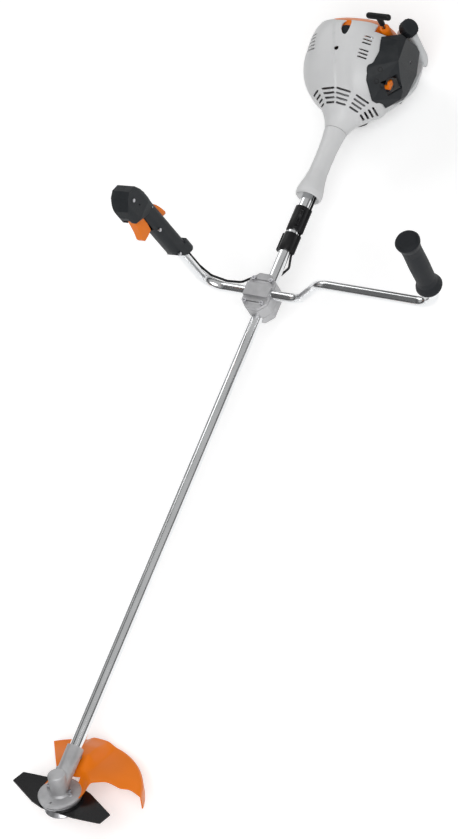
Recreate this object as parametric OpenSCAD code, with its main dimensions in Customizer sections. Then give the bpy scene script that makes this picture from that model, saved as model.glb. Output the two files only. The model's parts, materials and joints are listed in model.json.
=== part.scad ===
// Petrol brush mower with a straight shaft, bike handlebar and two-wing blade.
// Stored at rest on the engine foot and the rim of the deflector.
// X runs along the shaft from the cutting head to the engine, Y to the operator's right, Z up.
// The origin is the centre of the engine foot's underside.

/* [Layout] */
// Height of the shaft's centre line over the ground
shaft_h = 118; // [112:0.5:126]
// Distance along the shaft from the blade axis to the cylinder's centre line
tool_len = 1640; // [1500:1:1760]
// Angle between the shaft and the plane of the blade
head_tilt = 29.7; // [27:0.1:32]

/* [Shaft] */
// Outer diameter of the drive tube
tube_d = 25.4; // [24.6:0.1:26]
// Wall of the drive tube
tube_wall = 1.5; // [1:0.1:2.2]
// Diameter of the solid drive shaft
shaft_d = 7; // [6:0.1:8]
// Number of bushes that carry the shaft in the tube
bush_count = 6; // [3:1:9]
// Length of one bush
bush_len = 22; // [14:1:32]

/* [Cutting head] */
// Diameter of the gear barrel round the blade axis
barrel_d = 35; // [34.4:0.1:37]
// Diameter of the housing's flange
flange_d = 85.6; // [80:0.5:90]
// Diameter of the sleeve that takes the tube
socket_d = 33.6; // [31:0.1:36]
// Distance along the shaft to the end of that sleeve
socket_end = 83; // [76:1:92]
// Number of teeth on the pinion
pinion_teeth = 12; // [12:1:12]
// Number of teeth on the output gear
gear_teeth = 17; // [17:1:17]

/* [Blade] */
// Diameter swept by the blade
blade_d = 230; // [220:1:240]
// Thickness of the blade
blade_t = 3; // [2:0.1:4]
// Width of the blade's tips
blade_tip_w = 28; // [22:1:34]
// Diameter of the blade's centre hole
arbor_d = 25.4; // [24:0.1:27]
// Diameter of the rider plate under the blade
rider_d = 71; // [64:1:78]

/* [Deflector] */
// Outer radius of the deflector's skirt about the blade axis
skirt_r = 159; // [155:0.5:162]
// Wall of the deflector
skirt_wall = 2.6; // [2:0.1:3.2]
// Angle from straight back to the deflector's end on the operator's right
skirt_right = 37; // [32:1:44]
// Angle from straight back to the deflector's end on the operator's left
skirt_left = 72; // [66:1:78]

/* [Handlebar] */
// Distance from the handlebar back to the neck sleeve's mouth
bar_gap = 252; // [225:1:320]
// Diameter of the handlebar tube
bar_d = 21; // [19:0.5:22]
// Wall of the handlebar tube
bar_wall = 1.6; // [1:0.1:2.2]
// Height of the handlebar over the shaft's centre line at the clamp
bar_rise = 30; // [28:0.5:34]
// Lateral reach of the left grip
reach_left = 428; // [415:1:450]
// Lateral reach of the right grip
reach_right = 122; // [115:1:135]
// Height of the outer left run over the shaft's centre line
left_run_w = 111; // [100:1:120]
// Length of the cap of the clamp, along the bar
clamp_len = 58; // [50:1:66]
// Length of the clamp along the shaft
clamp_depth = 84; // [78:1:92]

/* [Grips] */
// Diameter of the left grip's body
grip_d = 39; // [35:0.5:42]
// Length of the left grip
grip_len = 172; // [150:1:190]
// Depth of the control handle from front to back
handle_depth = 40; // [38:0.5:43]
// Width of the control handle
handle_width = 34; // [32:0.5:37]
// Wall of the control handle
handle_wall = 2.4; // [1.8:0.1:3]

/* [Throttle cable] */
// Diameter of the throttle cable
cable_d = 5; // [4:0.1:5.6]

/* [Neck sleeve] */
// Length of the sleeve from its mouth to the shroud's cone
sleeve_len = 167; // [150:1:190]
// Diameter of the sleeve's mouth
sleeve_mouth_d = 58; // [50:1:62]
// Diameter of the sleeve at its waist
sleeve_waist_d = 39.6; // [39:0.1:42]

/* [Engine] */
// Distance from the cylinder forward to the bearing of the clutch drum
bearing_ahead = 106; // [98:1:116]
// Wall of the shroud
shroud_wall = 2.4; // [1.8:0.1:3.2]
// Half width of the shroud
shroud_half = 112; // [106:0.5:116]
// Height of the shroud's top over the shaft's centre line
shroud_top = 110; // [106:0.5:116]
// Cylinder bore
bore_d = 36; // [32:0.1:38]
// Piston stroke
stroke = 24; // [20:0.5:26]
// Diameter of the flywheel
flywheel_d = 92; // [84:1:98]
// Diameter of the clutch drum
drum_d = 56; // [50:0.5:60]
// Diameter of the starter pulley
pulley_d = 60; // [50:1:66]
// Width of the foot under the engine
foot_w = 120; // [100:1:140]
// Length of the foot under the engine
foot_l = 84; // [70:1:96]

/* [Fuel tank] */
// Wall of the fuel tank
tank_wall = 2.2; // [1.6:0.1:3]
// Diameter of the fuel cap
cap_d = 37; // [34:0.5:42]

/* [Hidden] */
$fn = 48;

// Colours
orange = [0.93, 0.38, 0.04];
pale = [0.86, 0.87, 0.88];
charcoal = [0.2, 0.21, 0.23];
ink = [0.06, 0.06, 0.07];
alloy = [0.72, 0.73, 0.75];
cast = [0.6, 0.61, 0.62];
steel = [0.5, 0.52, 0.55];
brass = [0.75, 0.62, 0.3];

fit = 0.05; // radial clearance of a shaft in its bore
gap = 0.3; // space between pieces that move past each other

tube_r = tube_d / 2;
shaft_r = shaft_d / 2;
socket_r = socket_d / 2;
barrel_r = barrel_d / 2;
flange_r = flange_d / 2;
bar_r = bar_d / 2;

// ---------- frames ----------
// The tool frame has its origin where the shaft's centre line meets the blade axis.
module tool() translate([-tool_len, 0, shaft_h]) children();

// The head frame has Z along the blade axis and X straight back in the blade's plane.
module head() tool() rotate([0, head_tilt, 0]) children();

// Puts a shape that is made along Z onto the shaft's centre line, from u on.
module along(u) tool() translate([u, 0, 0]) rotate([0, 90, 0]) children();

// The engine frame has its origin where the shaft's centre line meets the cylinder's.
// What the handlebar, the neck and the engine carry is placed in it.
module engine() translate([0, 0, shaft_h]) children();
module engine_along(u) engine() translate([u, 0, 0]) rotate([0, 90, 0]) children();
bearing_u = -bearing_ahead;
cone_u = bearing_u - 26; // where the shroud's cone meets the sleeve
sleeve_u = cone_u - sleeve_len; // the sleeve's open mouth
bar_u = sleeve_u - bar_gap;
clip_u = sleeve_u - 134;
ring_u = sleeve_u - 84;

module ring(r_out, r_in, h) {
    difference() {
        cylinder(r = r_out, h = h);
        translate([0, 0, -1]) cylinder(r = r_in, h = h + 2);
    }
}

// A cap screw with its head's top at z = 0 and its shank down to -len.
module cap_screw(head_r, head_h, shank_r, len) {
    difference() {
        translate([0, 0, -head_h]) cylinder(r = head_r, h = head_h);
        translate([0, 0, -head_h / 2]) cylinder(r = head_r * 0.55, h = head_h, $fn = 6);
    }
    translate([0, 0, -len]) cylinder(r = shank_r, h = len - head_h);
}

// ---------- round bent tubes ----------
function unit(v) = v / norm(v);
function turn_angle(a, b) = acos(max(-1, min(1, a * b)));
function setback(a, b, bend) = bend * tan(turn_angle(a, b) / 2);

// A round rod along pts, with every corner bent to the radius bend.
// The straights reach a little way into the bends, which are a hair thicker.
lap = 0.3;
swell = 0.04;
module bent_rod(pts, r, bend) {
    last = len(pts) - 1;
    for (i = [0 : last - 1]) {
        dir = unit(pts[i + 1] - pts[i]);
        cut_in = i == 0 ? 0 : setback(unit(pts[i] - pts[i - 1]), dir, bend) - lap;
        cut_out = i == last - 1 ? 0 : setback(dir, unit(pts[i + 2] - pts[i + 1]), bend) - lap;
        span = norm(pts[i + 1] - pts[i]) - cut_in - cut_out;
        lay_rod(pts[i] + dir * cut_in, dir, span, r);
    }
    for (i = [1 : last - 1]) lay_elbow(pts[i - 1], pts[i], pts[i + 1], r + swell, bend);
}

module lay_rod(from, dir, span, r) {
    side = unit(cross(dir, abs(dir.x) < 0.9 ? [1, 0, 0] : [0, 1, 0]));
    up = cross(dir, side);
    multmatrix([
        [side.x, up.x, dir.x, from.x],
        [side.y, up.y, dir.y, from.y],
        [side.z, up.z, dir.z, from.z],
        [0, 0, 0, 1]
    ]) cylinder(r = r, h = span);
}

module lay_elbow(before, corner, after, r, bend) {
    a = unit(corner - before);
    b = unit(after - corner);
    inward = unit(b - a * (a * b));
    centre = corner - a * setback(a, b, bend) + inward * bend;
    up = cross(-inward, a);
    multmatrix([
        [-inward.x, a.x, up.x, centre.x],
        [-inward.y, a.y, up.y, centre.y],
        [-inward.z, a.z, up.z, centre.z],
        [0, 0, 0, 1]
    ]) rotate_extrude(angle = turn_angle(a, b)) translate([bend, 0]) circle(r = r);
}

// ---------- lofts with rounded-box sections ----------
// A section is [u, right, left, top, bottom, power]: half extents about the centre line.
function bend_to(v, n) = sign(v) * pow(abs(v), 2 / n);
function section_ring(s, wall, sides) = [
    for (i = [0 : sides - 1])
        let (a = 360 * i / sides, c = bend_to(cos(a), s[5]), d = bend_to(sin(a), s[5]))
        [s[0], c * ((c > 0 ? s[1] : s[2]) - wall), d * ((d > 0 ? s[3] : s[4]) - wall)]
];

module loft(sections, wall, sides) {
    rings = len(sections);
    points = [for (s = sections) each section_ring(s, wall, sides)];
    side_faces = [
        for (k = [0 : rings - 2], i = [0 : sides - 1])
            let (j = (i + 1) % sides)
            each [[k * sides + i, (k + 1) * sides + j, k * sides + j],
                  [k * sides + i, (k + 1) * sides + i, (k + 1) * sides + j]]
    ];
    front = [for (i = [0 : sides - 1]) i];
    back = [for (i = [0 : sides - 1]) rings * sides - 1 - i];
    polyhedron(points, concat(side_faces, [front, back]), convexity = 6);
}

// ================= cutting head =================
tan_pinion = cos(head_tilt) / (gear_teeth / pinion_teeth + sin(head_tilt));
pinion_cone = atan(tan_pinion);
gear_cone = 90 - head_tilt - pinion_cone;
tooth_module = 1.6;
gear_r = tooth_module * gear_teeth / 2;
cone_dist = gear_r / sin(gear_cone);
tooth_face = 7;

spindle_r = 5;
cavity_r = gear_r + tooth_module + 0.4;
flange_low = -18.5;
flange_high = -12;
barrel_high = 33;
low_bearing_r = 16;
low_bearing_h = 9;
top_bearing_r = 11;
top_bearing_z = 25;
top_bearing_h = 6;
input_bearing_r = 11;
input_bearing_h = 9;
input_bearing_u = 27;
socket_stop = 48;
screw_arm = 24; // distance of the deflector's screws from the blade axis
boss_high = flange_high + 2.5;

blade_top = -24.6;
blade_low = blade_top - blade_t;
washer_t = 2.4;
rider_t = 2;
rider_low = -50;

module gearhead_housing() color(cast) difference() {
    union() {
        head() {
            translate([0, 0, flange_high]) cylinder(r = barrel_r, h = barrel_high - 2 - flange_high);
            translate([0, 0, barrel_high - 2]) cylinder(r1 = barrel_r, r2 = barrel_r - 2, h = 2);
            translate([0, 0, flange_low]) cylinder(r = flange_r, h = flange_high - flange_low - 1.5);
            translate([0, 0, flange_high - 1.5]) cylinder(r1 = flange_r, r2 = flange_r - 4, h = 1.5);
            translate([0, 0, flange_high]) cylinder(r1 = barrel_r + 3.5, r2 = barrel_r, h = 4);
            for (s = [-1, 1]) translate([0, s * screw_arm, flange_high - 1]) cylinder(r = 5, h = boss_high - flange_high + 1);
        }
        along(0) cylinder(r = socket_r, h = socket_end);
        // Ears of the pinch joint behind the barrel
        tool() translate([socket_end - 21, -6, -socket_r - 6]) cube([18, 12, 10]);
    }
    head() {
        translate([0, 0, flange_low - 1]) cylinder(r = low_bearing_r + fit, h = low_bearing_h + 1);
        translate([0, 0, flange_low]) cylinder(r = cavity_r, h = top_bearing_z - flange_low);
        translate([0, 0, top_bearing_z - 1]) cylinder(r = top_bearing_r + fit, h = top_bearing_h + 1);
        for (s = [-1, 1]) translate([0, s * screw_arm, flange_low + 1]) cylinder(r = 2.1, h = 20);
        // Hole for the pin that stops the spindle while the blade is changed
        translate([-33, 0, flange_low - 1]) cylinder(r = 2.6, h = 12);
    }
    along(4) cylinder(r = cavity_r - 3.2, h = input_bearing_u - 4);
    along(input_bearing_u) cylinder(r = input_bearing_r + fit, h = socket_stop - input_bearing_u);
    along(socket_stop) cylinder(r = tube_r + fit, h = socket_end);
    // Slot of the pinch joint
    tool() translate([socket_end - 30, -0.8, -socket_r - 12]) cube([40, 1.6, 20]);
    tool() translate([socket_end - 12, -20, -socket_r - 2.6]) rotate([-90, 0, 0]) cylinder(r = 2.1, h = 40);
    // Threaded hole of the grease screw, on the operator's right
    tool() translate([34, socket_r - 8, 0]) rotate([-90, 0, 0]) cylinder(r = 3.05, h = 12);
}

module gearhead_bearings() color(steel) {
    head() translate([0, 0, flange_low]) ring(low_bearing_r, spindle_r + fit, low_bearing_h - fit);
    head() translate([0, 0, top_bearing_z + fit]) ring(top_bearing_r, spindle_r + fit, top_bearing_h - 2 * fit);
    for (k = [0, 1])
        along(input_bearing_u + 0.5 + k * (input_bearing_h + 1)) ring(input_bearing_r, spindle_r + fit, input_bearing_h);
}

// One straight bevel tooth, standing on the cone whose half angle is given.
module bevel_tooth(cone, teeth) {
    near = cone_dist - tooth_face;
    foot = 360 / teeth * 0.24;
    tip = 360 / teeth * 0.09;
    low = 1.15;
    high = 0.95;
    points = [
        for (d = [near, cone_dist], side = [-1, 1], lift = [0, 1])
            let (m = tooth_module * d / cone_dist,
                 h = lift == 0 ? -low * m : high * m,
                 r = d * sin(cone) + h * cos(cone),
                 z = d * cos(cone) - h * sin(cone),
                 a = side * (lift == 0 ? foot : tip))
            [r * cos(a), r * sin(a), z]
    ];
    polyhedron(points, [[0, 1, 3, 2], [4, 6, 7, 5], [0, 2, 6, 4], [1, 5, 7, 3], [0, 4, 5, 1], [2, 3, 7, 6]]);
}

module bevel_gear(cone, teeth) {
    near = cone_dist - tooth_face;
    root = 1.0;
    r_near = near * sin(cone) - root * tooth_module * near / cone_dist * cos(cone);
    r_far = cone_dist * sin(cone) - root * tooth_module * cos(cone);
    z_near = near * cos(cone) + root * tooth_module * near / cone_dist * sin(cone);
    z_far = cone_dist * cos(cone) + root * tooth_module * sin(cone);
    translate([0, 0, z_near]) cylinder(r1 = r_near, r2 = r_far, h = z_far - z_near);
    for (i = [0 : teeth - 1]) rotate([0, 0, 360 * i / teeth]) bevel_tooth(cone, teeth);
}

module input_pinion() color(steel) difference() {
    union() {
        along(0) rotate([0, 0, 180]) bevel_gear(pinion_cone, pinion_teeth);
        along(cone_dist * cos(pinion_cone)) cylinder(r = spindle_r, h = 64 - cone_dist * cos(pinion_cone));
    }
    along(socket_stop - 2) cylinder(r = shaft_r + fit, h = 40);
}

module output_gear() color(steel) head() difference() {
    union() {
        rotate([0, 0, 180 / gear_teeth]) bevel_gear(gear_cone, gear_teeth);
        translate([0, 0, cone_dist * cos(gear_cone)]) cylinder(r = 8, h = top_bearing_z - 0.3 - cone_dist * cos(gear_cone));
    }
    cylinder(r = spindle_r + fit, h = 60);
}

nut_top = blade_low - washer_t - rider_t;
nut_h = 12;

module spindle() color(steel) head() {
    translate([0, 0, nut_top - nut_h - 1]) cylinder(r = spindle_r, h = top_bearing_z + top_bearing_h - nut_top + nut_h + 1);
}

module thrust_plate() color(alloy) head() difference() {
    union() {
        translate([0, 0, blade_top]) cylinder(r = flange_r - 1.3, h = 3.6);
        translate([0, 0, blade_top + 3.6]) cylinder(r = low_bearing_r - 5, h = flange_low - gap - blade_top - 3.6);
        translate([0, 0, blade_low + 0.4]) cylinder(r = arbor_d / 2 - 0.1, h = blade_t);
    }
    translate([0, 0, blade_low - 1]) cylinder(r = spindle_r + fit, h = 30);
    translate([-33, 0, blade_top - 1]) cylinder(r = 2.6, h = 12);
}

// Half of the blade's outline, from one tip round to the other.
function blade_half() = [
    [blade_d / 2, -7],
    [blade_d / 2 - 6, -7 - blade_tip_w],
    [89, -37.4],
    [50, -41],
    [-20, -39],
    [-48, -30]
];
module blade() color(ink) head() difference() {
    translate([0, 0, blade_low]) rotate([0, 0, 90]) linear_extrude(height = blade_t)
        polygon(concat(
            [for (p = blade_half()) p],
            [for (p = blade_half()) -p]
        ));
    translate([0, 0, blade_low - 1]) cylinder(r = arbor_d / 2, h = blade_t + 2);
}

module thrust_washer() color(alloy) head() translate([0, 0, blade_low - washer_t]) ring(27, spindle_r + fit, washer_t);

module rider_plate() color(alloy) head() difference() {
    rotate_extrude() {
        top = blade_low - washer_t;
        polygon([
            [spindle_r + fit, top], [21, top], [25, top - 4], [rider_d / 2 - 3, rider_low + 7],
            [rider_d / 2, rider_low + 3], [rider_d / 2 - 2, rider_low], [18, rider_low],
            [18, rider_low + rider_t], [rider_d / 2 - 4, rider_low + rider_t],
            [rider_d / 2 - 5.5, rider_low + 6.6], [23, top - 5], [20, top - rider_t], [spindle_r + fit, top - rider_t]
        ]);
    }
    for (a = [45 : 90 : 315]) rotate([0, 0, a]) translate([27, 0, rider_low - 1]) cylinder(r = 3, h = 6);
}

module blade_nut() color(steel) head() difference() {
    union() {
        translate([0, 0, nut_top - nut_h]) cylinder(r = 11, h = nut_h - 2, $fn = 6);
        translate([0, 0, nut_top - 2]) cylinder(r = 13.5, h = 2);
    }
    translate([0, 0, nut_top - nut_h - 1]) cylinder(r = spindle_r + fit, h = nut_h + 2);
}

// ---------- deflector ----------
plate_inner = barrel_r + 3.2;
skirt_low = -(shaft_h - skirt_r * sin(head_tilt)) / cos(head_tilt);
rim_z = -12;
hump_h = 17;
function ease(t) = let (c = max(0, min(1, t))) c * c * (3 - 2 * c);
function blend(a, b, t) = a + (b - a) * ease(t);

// Height of the plate at radius r, before the hump.
function plate_z(r) = r < 60 ? blend(boss_high + skirt_wall + 0.1, 2, (r - 40) / 20)
    : blend(2, rim_z, (r - 60) / (skirt_r - 60));
// Ends of the plate at radius r, in degrees from straight back.
function left_end(r) = r < 85 ? -blend(100, 57, (r - 34) / 30)
    : r < 120 ? -blend(57, 66, (r - 85) / 35) : -blend(66, skirt_left, (r - 130) / 28);
function right_end(r) = blend(100, skirt_right, (r - 35) / 17);
// The hump that runs back under the shaft.
function hump(x, y) = min(hump_h, max(0, 0.45 * (x - 48))) * ease((36 - abs(y)) / 22) * blend(1, 0.55, (x - 110) / 48);

// Rows of the outer surface: [radius, height, normal r, normal z].
bend_r = 7;
function plate_rows() = [
    for (r = [plate_inner, 30, 40, 46, 53, 60, 68, 77, 87, 98, 110, 122, 134, 145]) [r, plate_z(r), 0, 1]
];
function rim_rows() = [
    for (a = [90 : -22.5 : 0])
        [skirt_r - bend_r + bend_r * cos(a), rim_z - bend_r + bend_r * sin(a), cos(a), sin(a)]
];
function skirt_rows() = [for (t = [0.35, 0.7, 1]) [skirt_r, rim_z - bend_r + (skirt_low - rim_z + bend_r) * t, 1, 0]];

module deflector_shell() {
    rows = concat(plate_rows(), rim_rows(), skirt_rows());
    cols = 30;
    n = len(rows);
    outer = [
        for (row = rows, i = [0 : cols])
            let (a = left_end(row[0]) + (right_end(row[0]) - left_end(row[0])) * i / cols,
                 x = row[0] * cos(a), y = row[0] * sin(a))
            [x, y, row[1] + hump(x, y) * max(0, row[3])]
    ];
    inner = [
        for (row = rows, i = [0 : cols])
            let (a = left_end(row[0]) + (right_end(row[0]) - left_end(row[0])) * i / cols,
                 r = row[0] - skirt_wall * row[2],
                 x = row[0] * cos(a), y = row[0] * sin(a))
            [r * cos(a), r * sin(a), row[1] - skirt_wall * row[3] + hump(x, y) * max(0, row[3])]
    ];
    w = cols + 1;
    m = n * w;
    faces = concat(
        [for (k = [0 : n - 2], i = [0 : cols - 1]) each [
            [k * w + i, k * w + i + 1, (k + 1) * w + i + 1], [k * w + i, (k + 1) * w + i + 1, (k + 1) * w + i],
            [m + k * w + i, m + (k + 1) * w + i + 1, m + k * w + i + 1],
            [m + k * w + i, m + (k + 1) * w + i, m + (k + 1) * w + i + 1]]],
        [for (k = [0 : n - 2]) each [
            [k * w, (k + 1) * w, m + (k + 1) * w], [k * w, m + (k + 1) * w, m + k * w],
            [k * w + cols, m + (k + 1) * w + cols, (k + 1) * w + cols],
            [k * w + cols, m + k * w + cols, m + (k + 1) * w + cols]]],
        [for (i = [0 : cols - 1]) each [
            [i, m + i + 1, i + 1], [i, m + i, m + i + 1],
            [(n - 1) * w + i, (n - 1) * w + i + 1, m + (n - 1) * w + i + 1],
            [(n - 1) * w + i, m + (n - 1) * w + i + 1, m + (n - 1) * w + i]]]
    );
    polyhedron(concat(outer, inner), faces, convexity = 8);
}

module deflector() color(orange) head() difference() {
    deflector_shell();
    // Slot that lets the housing's sleeve through
    translate([-1, -socket_r - 1.2, -30]) cube([48, 2 * socket_r + 2.4, 60]);
    for (s = [-1, 1]) translate([0, s * screw_arm, -30]) cylinder(r = 2.3, h = 60);
}

// Screws of the deflector, of the pinch joint and of the grease filler
module head_screws() color(steel) {
    tool() translate([34, socket_r + 2.5, 0]) rotate([-90, 0, 0]) cap_screw(5, 2.5, 3, 8);
    for (s = [-1, 1]) head() translate([0, s * screw_arm, boss_high + skirt_wall + 6.15]) cap_screw(4.4, 6, 2, 16);
    tool() translate([socket_end - 12, -8.5, -socket_r - 2.6]) rotate([90, 0, 0]) cap_screw(3.4, 2.4, 2, 14);
}

// ================= shaft =================
tube_end = tool_len + bearing_u - 10;
shaft_end = tool_len + bearing_u + 17;

module drive_tube() color(alloy) along(socket_stop + 0.3) ring(tube_r, tube_r - tube_wall, tube_end - socket_stop - 0.3);

module drive_shaft() color(steel) along(socket_stop) cylinder(r = shaft_r, h = shaft_end - socket_stop);

module shaft_bushes() color(ink) {
    first = 130;
    step = (tube_end - 60 - first) / (bush_count - 1);
    for (i = [0 : bush_count - 1])
        along(first + i * step - bush_len / 2) ring(tube_r - tube_wall - fit, shaft_r + fit, bush_len);
}

// ================= handlebar =================
lean = 7.1; // outward lean of the control handle, in degrees
bar_bend = 46;
left_top = [bar_u, -reach_left - 6, left_run_w + grip_len + 58];
left_corner = [bar_u, -reach_left, left_run_w];
inner_high = [bar_u, -166, left_run_w];
inner_low = [bar_u, -92, bar_rise];
right_corner = [bar_u, reach_right, bar_rise];
bar_in_handle = 190;
right_top = right_corner + bar_in_handle * [0, sin(lean), cos(lean)];
bar_route = [left_top, left_corner, inner_high, inner_low, right_corner, right_top];

// The bore runs out of both ends
bore_route = [
    left_top + unit(left_top - left_corner), left_corner, inner_high, inner_low, right_corner,
    right_top + unit(right_top - right_corner)
];

module handlebar() color(alloy) engine() difference() {
    bent_rod(bar_route, bar_r, bar_bend);
    bent_rod(bore_route, bar_r - bar_wall, bar_bend);
}

clamp_split = (bar_rise + tube_r - bar_r) / 2;
cap_high = bar_rise + bar_r + 4;
base_low = -tube_r - 6;
screw_u = 27;
screw_v = 20;

// Rounded plan outline of the clamp.
module clamp_plan(depth, width, corner) {
    hull() for (x = [-1, 1], y = [-1, 1])
        translate([x * (depth / 2 - corner), y * (width / 2 - corner)]) circle(r = corner);
}

module clamp_slice(low, high) {
    difference() {
        engine() translate([bar_u, 0, low]) linear_extrude(height = high - low)
            intersection() {
                clamp_plan(clamp_depth, clamp_len, 17);
                rotate([0, 0, 45]) square(clamp_depth * 0.92, center = true);
            }
        engine() translate([bar_u, -60, bar_rise]) rotate([-90, 0, 0]) cylinder(r = bar_r + fit, h = 120);
        engine_along(bar_u - 80) cylinder(r = tube_r + fit, h = 160);
        for (x = [-1, 1], y = [-1, 1])
            engine() translate([bar_u + x * screw_u, y * screw_v, base_low - 1]) cylinder(r = 2.7, h = 90);
    }
}

module clamp_base() color(cast) clamp_slice(base_low, -0.4);
module clamp_middle() color(cast) clamp_slice(0.4, bar_rise - 0.5);
module clamp_cap() color(cast) difference() {
    clamp_slice(bar_rise + 0.5, cap_high);
    // The cap is lower beside the bar, where the screw heads sit
    for (s = [-1, 1]) engine() translate([bar_u + s * (bar_r + 4) - (s < 0 ? 60 : 0), -50, bar_rise + 8]) cube([60, 100, 20]);
}

module clamp_screws() color(steel)
    for (x = [-1, 1], y = [-1, 1])
        engine() translate([bar_u + x * screw_u, y * screw_v, bar_rise + 8 + 5]) cap_screw(4.6, 5, 2.6, bar_rise + 13 - base_low - 3);

grip_base = left_run_w + 66; // height of the left grip's lower end

module left_grip() color(charcoal) engine()
    difference() {
        grip_dir = unit(left_top - left_corner);
        lean_left = acos(grip_dir.z);
        translate(left_corner) rotate([lean_left, 0, 0]) translate([0, 0, grip_base - left_run_w]) rotate_extrude()
            polygon([
                [0, 3], [bar_r + fit, 3], [bar_r + fit, 0], [19, 0], [24.5, 3], [26.6, 8], [25.4, 13],
                [grip_d / 2 + 1.5, 24], [grip_d / 2, 36], [grip_d / 2 + 0.8, grip_len * 0.5],
                [grip_d / 2, grip_len - 40], [grip_d / 2 + 1, grip_len - 22], [24, grip_len - 10],
                [24.5, grip_len - 6], [22, grip_len - 1.5], [18, grip_len], [0, grip_len]
            ]);
        translate(left_corner) rotate([lean_left, 0, 0])
            cylinder(r = bar_r + fit, h = norm(left_top - left_corner) + 0.1);
    }

// ---------- control handle ----------
// Its frame has Z up the grip from the bar's corner, X toward the operator and Y to the right.
module handle_frame() engine() translate(right_corner) rotate([-lean, 0, 0]) children();

// Side view of the handle: X toward the operator, Y up the grip.
handle_side = [
    [14, 110], [26, 110], [29, 116], [27, 128], [23, 142], [20.5, 160], [20, 262], [19, 284], [19.8, 294],
    [12.2, 334], [4, 356], [-14, 363], [-28, 358], [-46, 338], [-51, 322], [-50, 306], [-42, 290],
    [-30, 280], [-23, 264], [-22, 180], [-22.5, 152], [-20, 142], [-10, 127], [0, 116]
];

module handle_solid(inset) {
    grow = -inset;
    intersection() {
        rotate([90, 0, 0]) linear_extrude(height = 70, center = true) offset(delta = grow) polygon(handle_side);
        union() {
            translate([0, 0, 130]) linear_extrude(height = 160) offset(delta = grow) handle_plan(0);
            translate([3, 0, 60]) linear_extrude(height = 80) offset(delta = grow) handle_plan(12);
            hull() {
                translate([-16, 0, 300]) linear_extrude(height = 70) offset(delta = grow)
                    clamp_plan(72, handle_width + 8, 17);
                translate([0, 0, 280]) linear_extrude(height = 1) offset(delta = grow) handle_plan(0);
            }
        }
    }
}

module handle_plan(longer) translate([-1.2, 0])
    clamp_plan(handle_depth + 2 + longer, handle_width, handle_width / 2 - 2);

module handle_shell() difference() {
    handle_solid(0);
    // The foot stays solid round the bar
    difference() {
        handle_solid(handle_wall);
        translate([-100, -100, 0]) cube([200, 200, foot_top]);
    }
    translate([0, 0, 60]) cylinder(r = bar_r + fit, h = foot_top - 59);
    // Way for the cable, behind the bar
    translate([cable_side, 0, 60]) cylinder(r = cable_r + 0.7, h = foot_top - 59);
    // Slot of the trigger
    translate([-80, -trigger_t / 2 - 0.5, 236]) cube([70, trigger_t + 1, 76]);
    // Slot of the lockout lever
    translate([8, -lock_t / 2 - 0.5, 213]) cube([40, lock_t + 1, 73]);
    // Slot of the stop slider
    translate([2, -7, 300]) cube([40, 14, 30]);
    // Pivots and screws, from side to side
    for (p = handle_cross) translate([p[0], -50, p[1]]) rotate([-90, 0, 0]) cylinder(r = p[2] + fit, h = 100);
}

foot_top = 166; // the grip is solid up to here
trigger_t = 17;
lock_t = 15;
trigger_pivot = [-15, 320];
lock_pivot = [8, 276];
// Cross pieces in the handle: [x, z, radius] of the trigger's pin, the lever's pin and three screws.
handle_cross = [
    [trigger_pivot[0], trigger_pivot[1], 2],
    [lock_pivot[0], lock_pivot[1], 2],
    [-15.4, 142, 2],
    [-15, 229, 2],
    [-20, 342, 2]
];

module handle_left_half() color(charcoal) handle_frame() intersection() {
    handle_shell();
    translate([-100, -60 - 0.1, 50]) cube([200, 60, 400]);
}
module handle_right_half() color(charcoal) handle_frame() intersection() {
    handle_shell();
    translate([-100, 0.1, 50]) cube([200, 60, 400]);
}

module handle_screws() color(steel) handle_frame() {
    half = handle_width / 2;
    for (i = [2 : 4]) {
        p = handle_cross[i];
        reach = i == 4 ? half + 4.1 : half + 0.1;
        translate([p[0], -reach, p[1]]) rotate([-90, 0, 0]) cylinder(r = 2, h = 2 * reach - 4);
        translate([p[0], -reach - 2, p[1]]) rotate([-90, 0, 0]) cylinder(r = 3.6, h = 2);
    }
    for (i = [0, 1]) {
        p = handle_cross[i];
        translate([p[0], -half + 1, p[1]]) rotate([-90, 0, 0]) cylinder(r = 2, h = 2 * half - 2);
    }
}

module throttle_trigger() color(orange) handle_frame() difference() {
    rotate([90, 0, 0]) linear_extrude(height = trigger_t, center = true)
        difference() {
            polygon([
                [-10, 326], [-20, 326], [-34, 314], [-42, 302], [-45, 286], [-49, 268], [-55, 252],
                [-53, 245], [-40, 243], [-25, 243], [-21, 262], [-20, 290], [-9, 314]
            ]);
        }
    translate([trigger_pivot[0], -50, trigger_pivot[1]]) rotate([-90, 0, 0]) cylinder(r = 2 + fit, h = 100);
}

module lockout_lever() color(orange) handle_frame() difference() {
    rotate([90, 0, 0]) linear_extrude(height = lock_t, center = true)
        polygon([
            [3, 281], [13, 281], [18, 272], [24, 260], [27, 250], [29.5, 238], [31, 226], [29, 221],
            [21, 224], [14, 244], [4, 268]
        ]);
    translate([lock_pivot[0], -50, lock_pivot[1]]) rotate([-90, 0, 0]) cylinder(r = 2 + fit, h = 100);
}

module stop_slider() color(ink) handle_frame() {
    slope = atan2(20 - 12.2, 334 - 294);
    translate([17.1, 0, 312]) rotate([0, -slope, 0]) {
        translate([-6, -6.4, -6]) cube([7.5, 12.8, 12]);
        translate([0.3, -8, -6]) cube([3.4, 16, 12]);
    }
}

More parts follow.
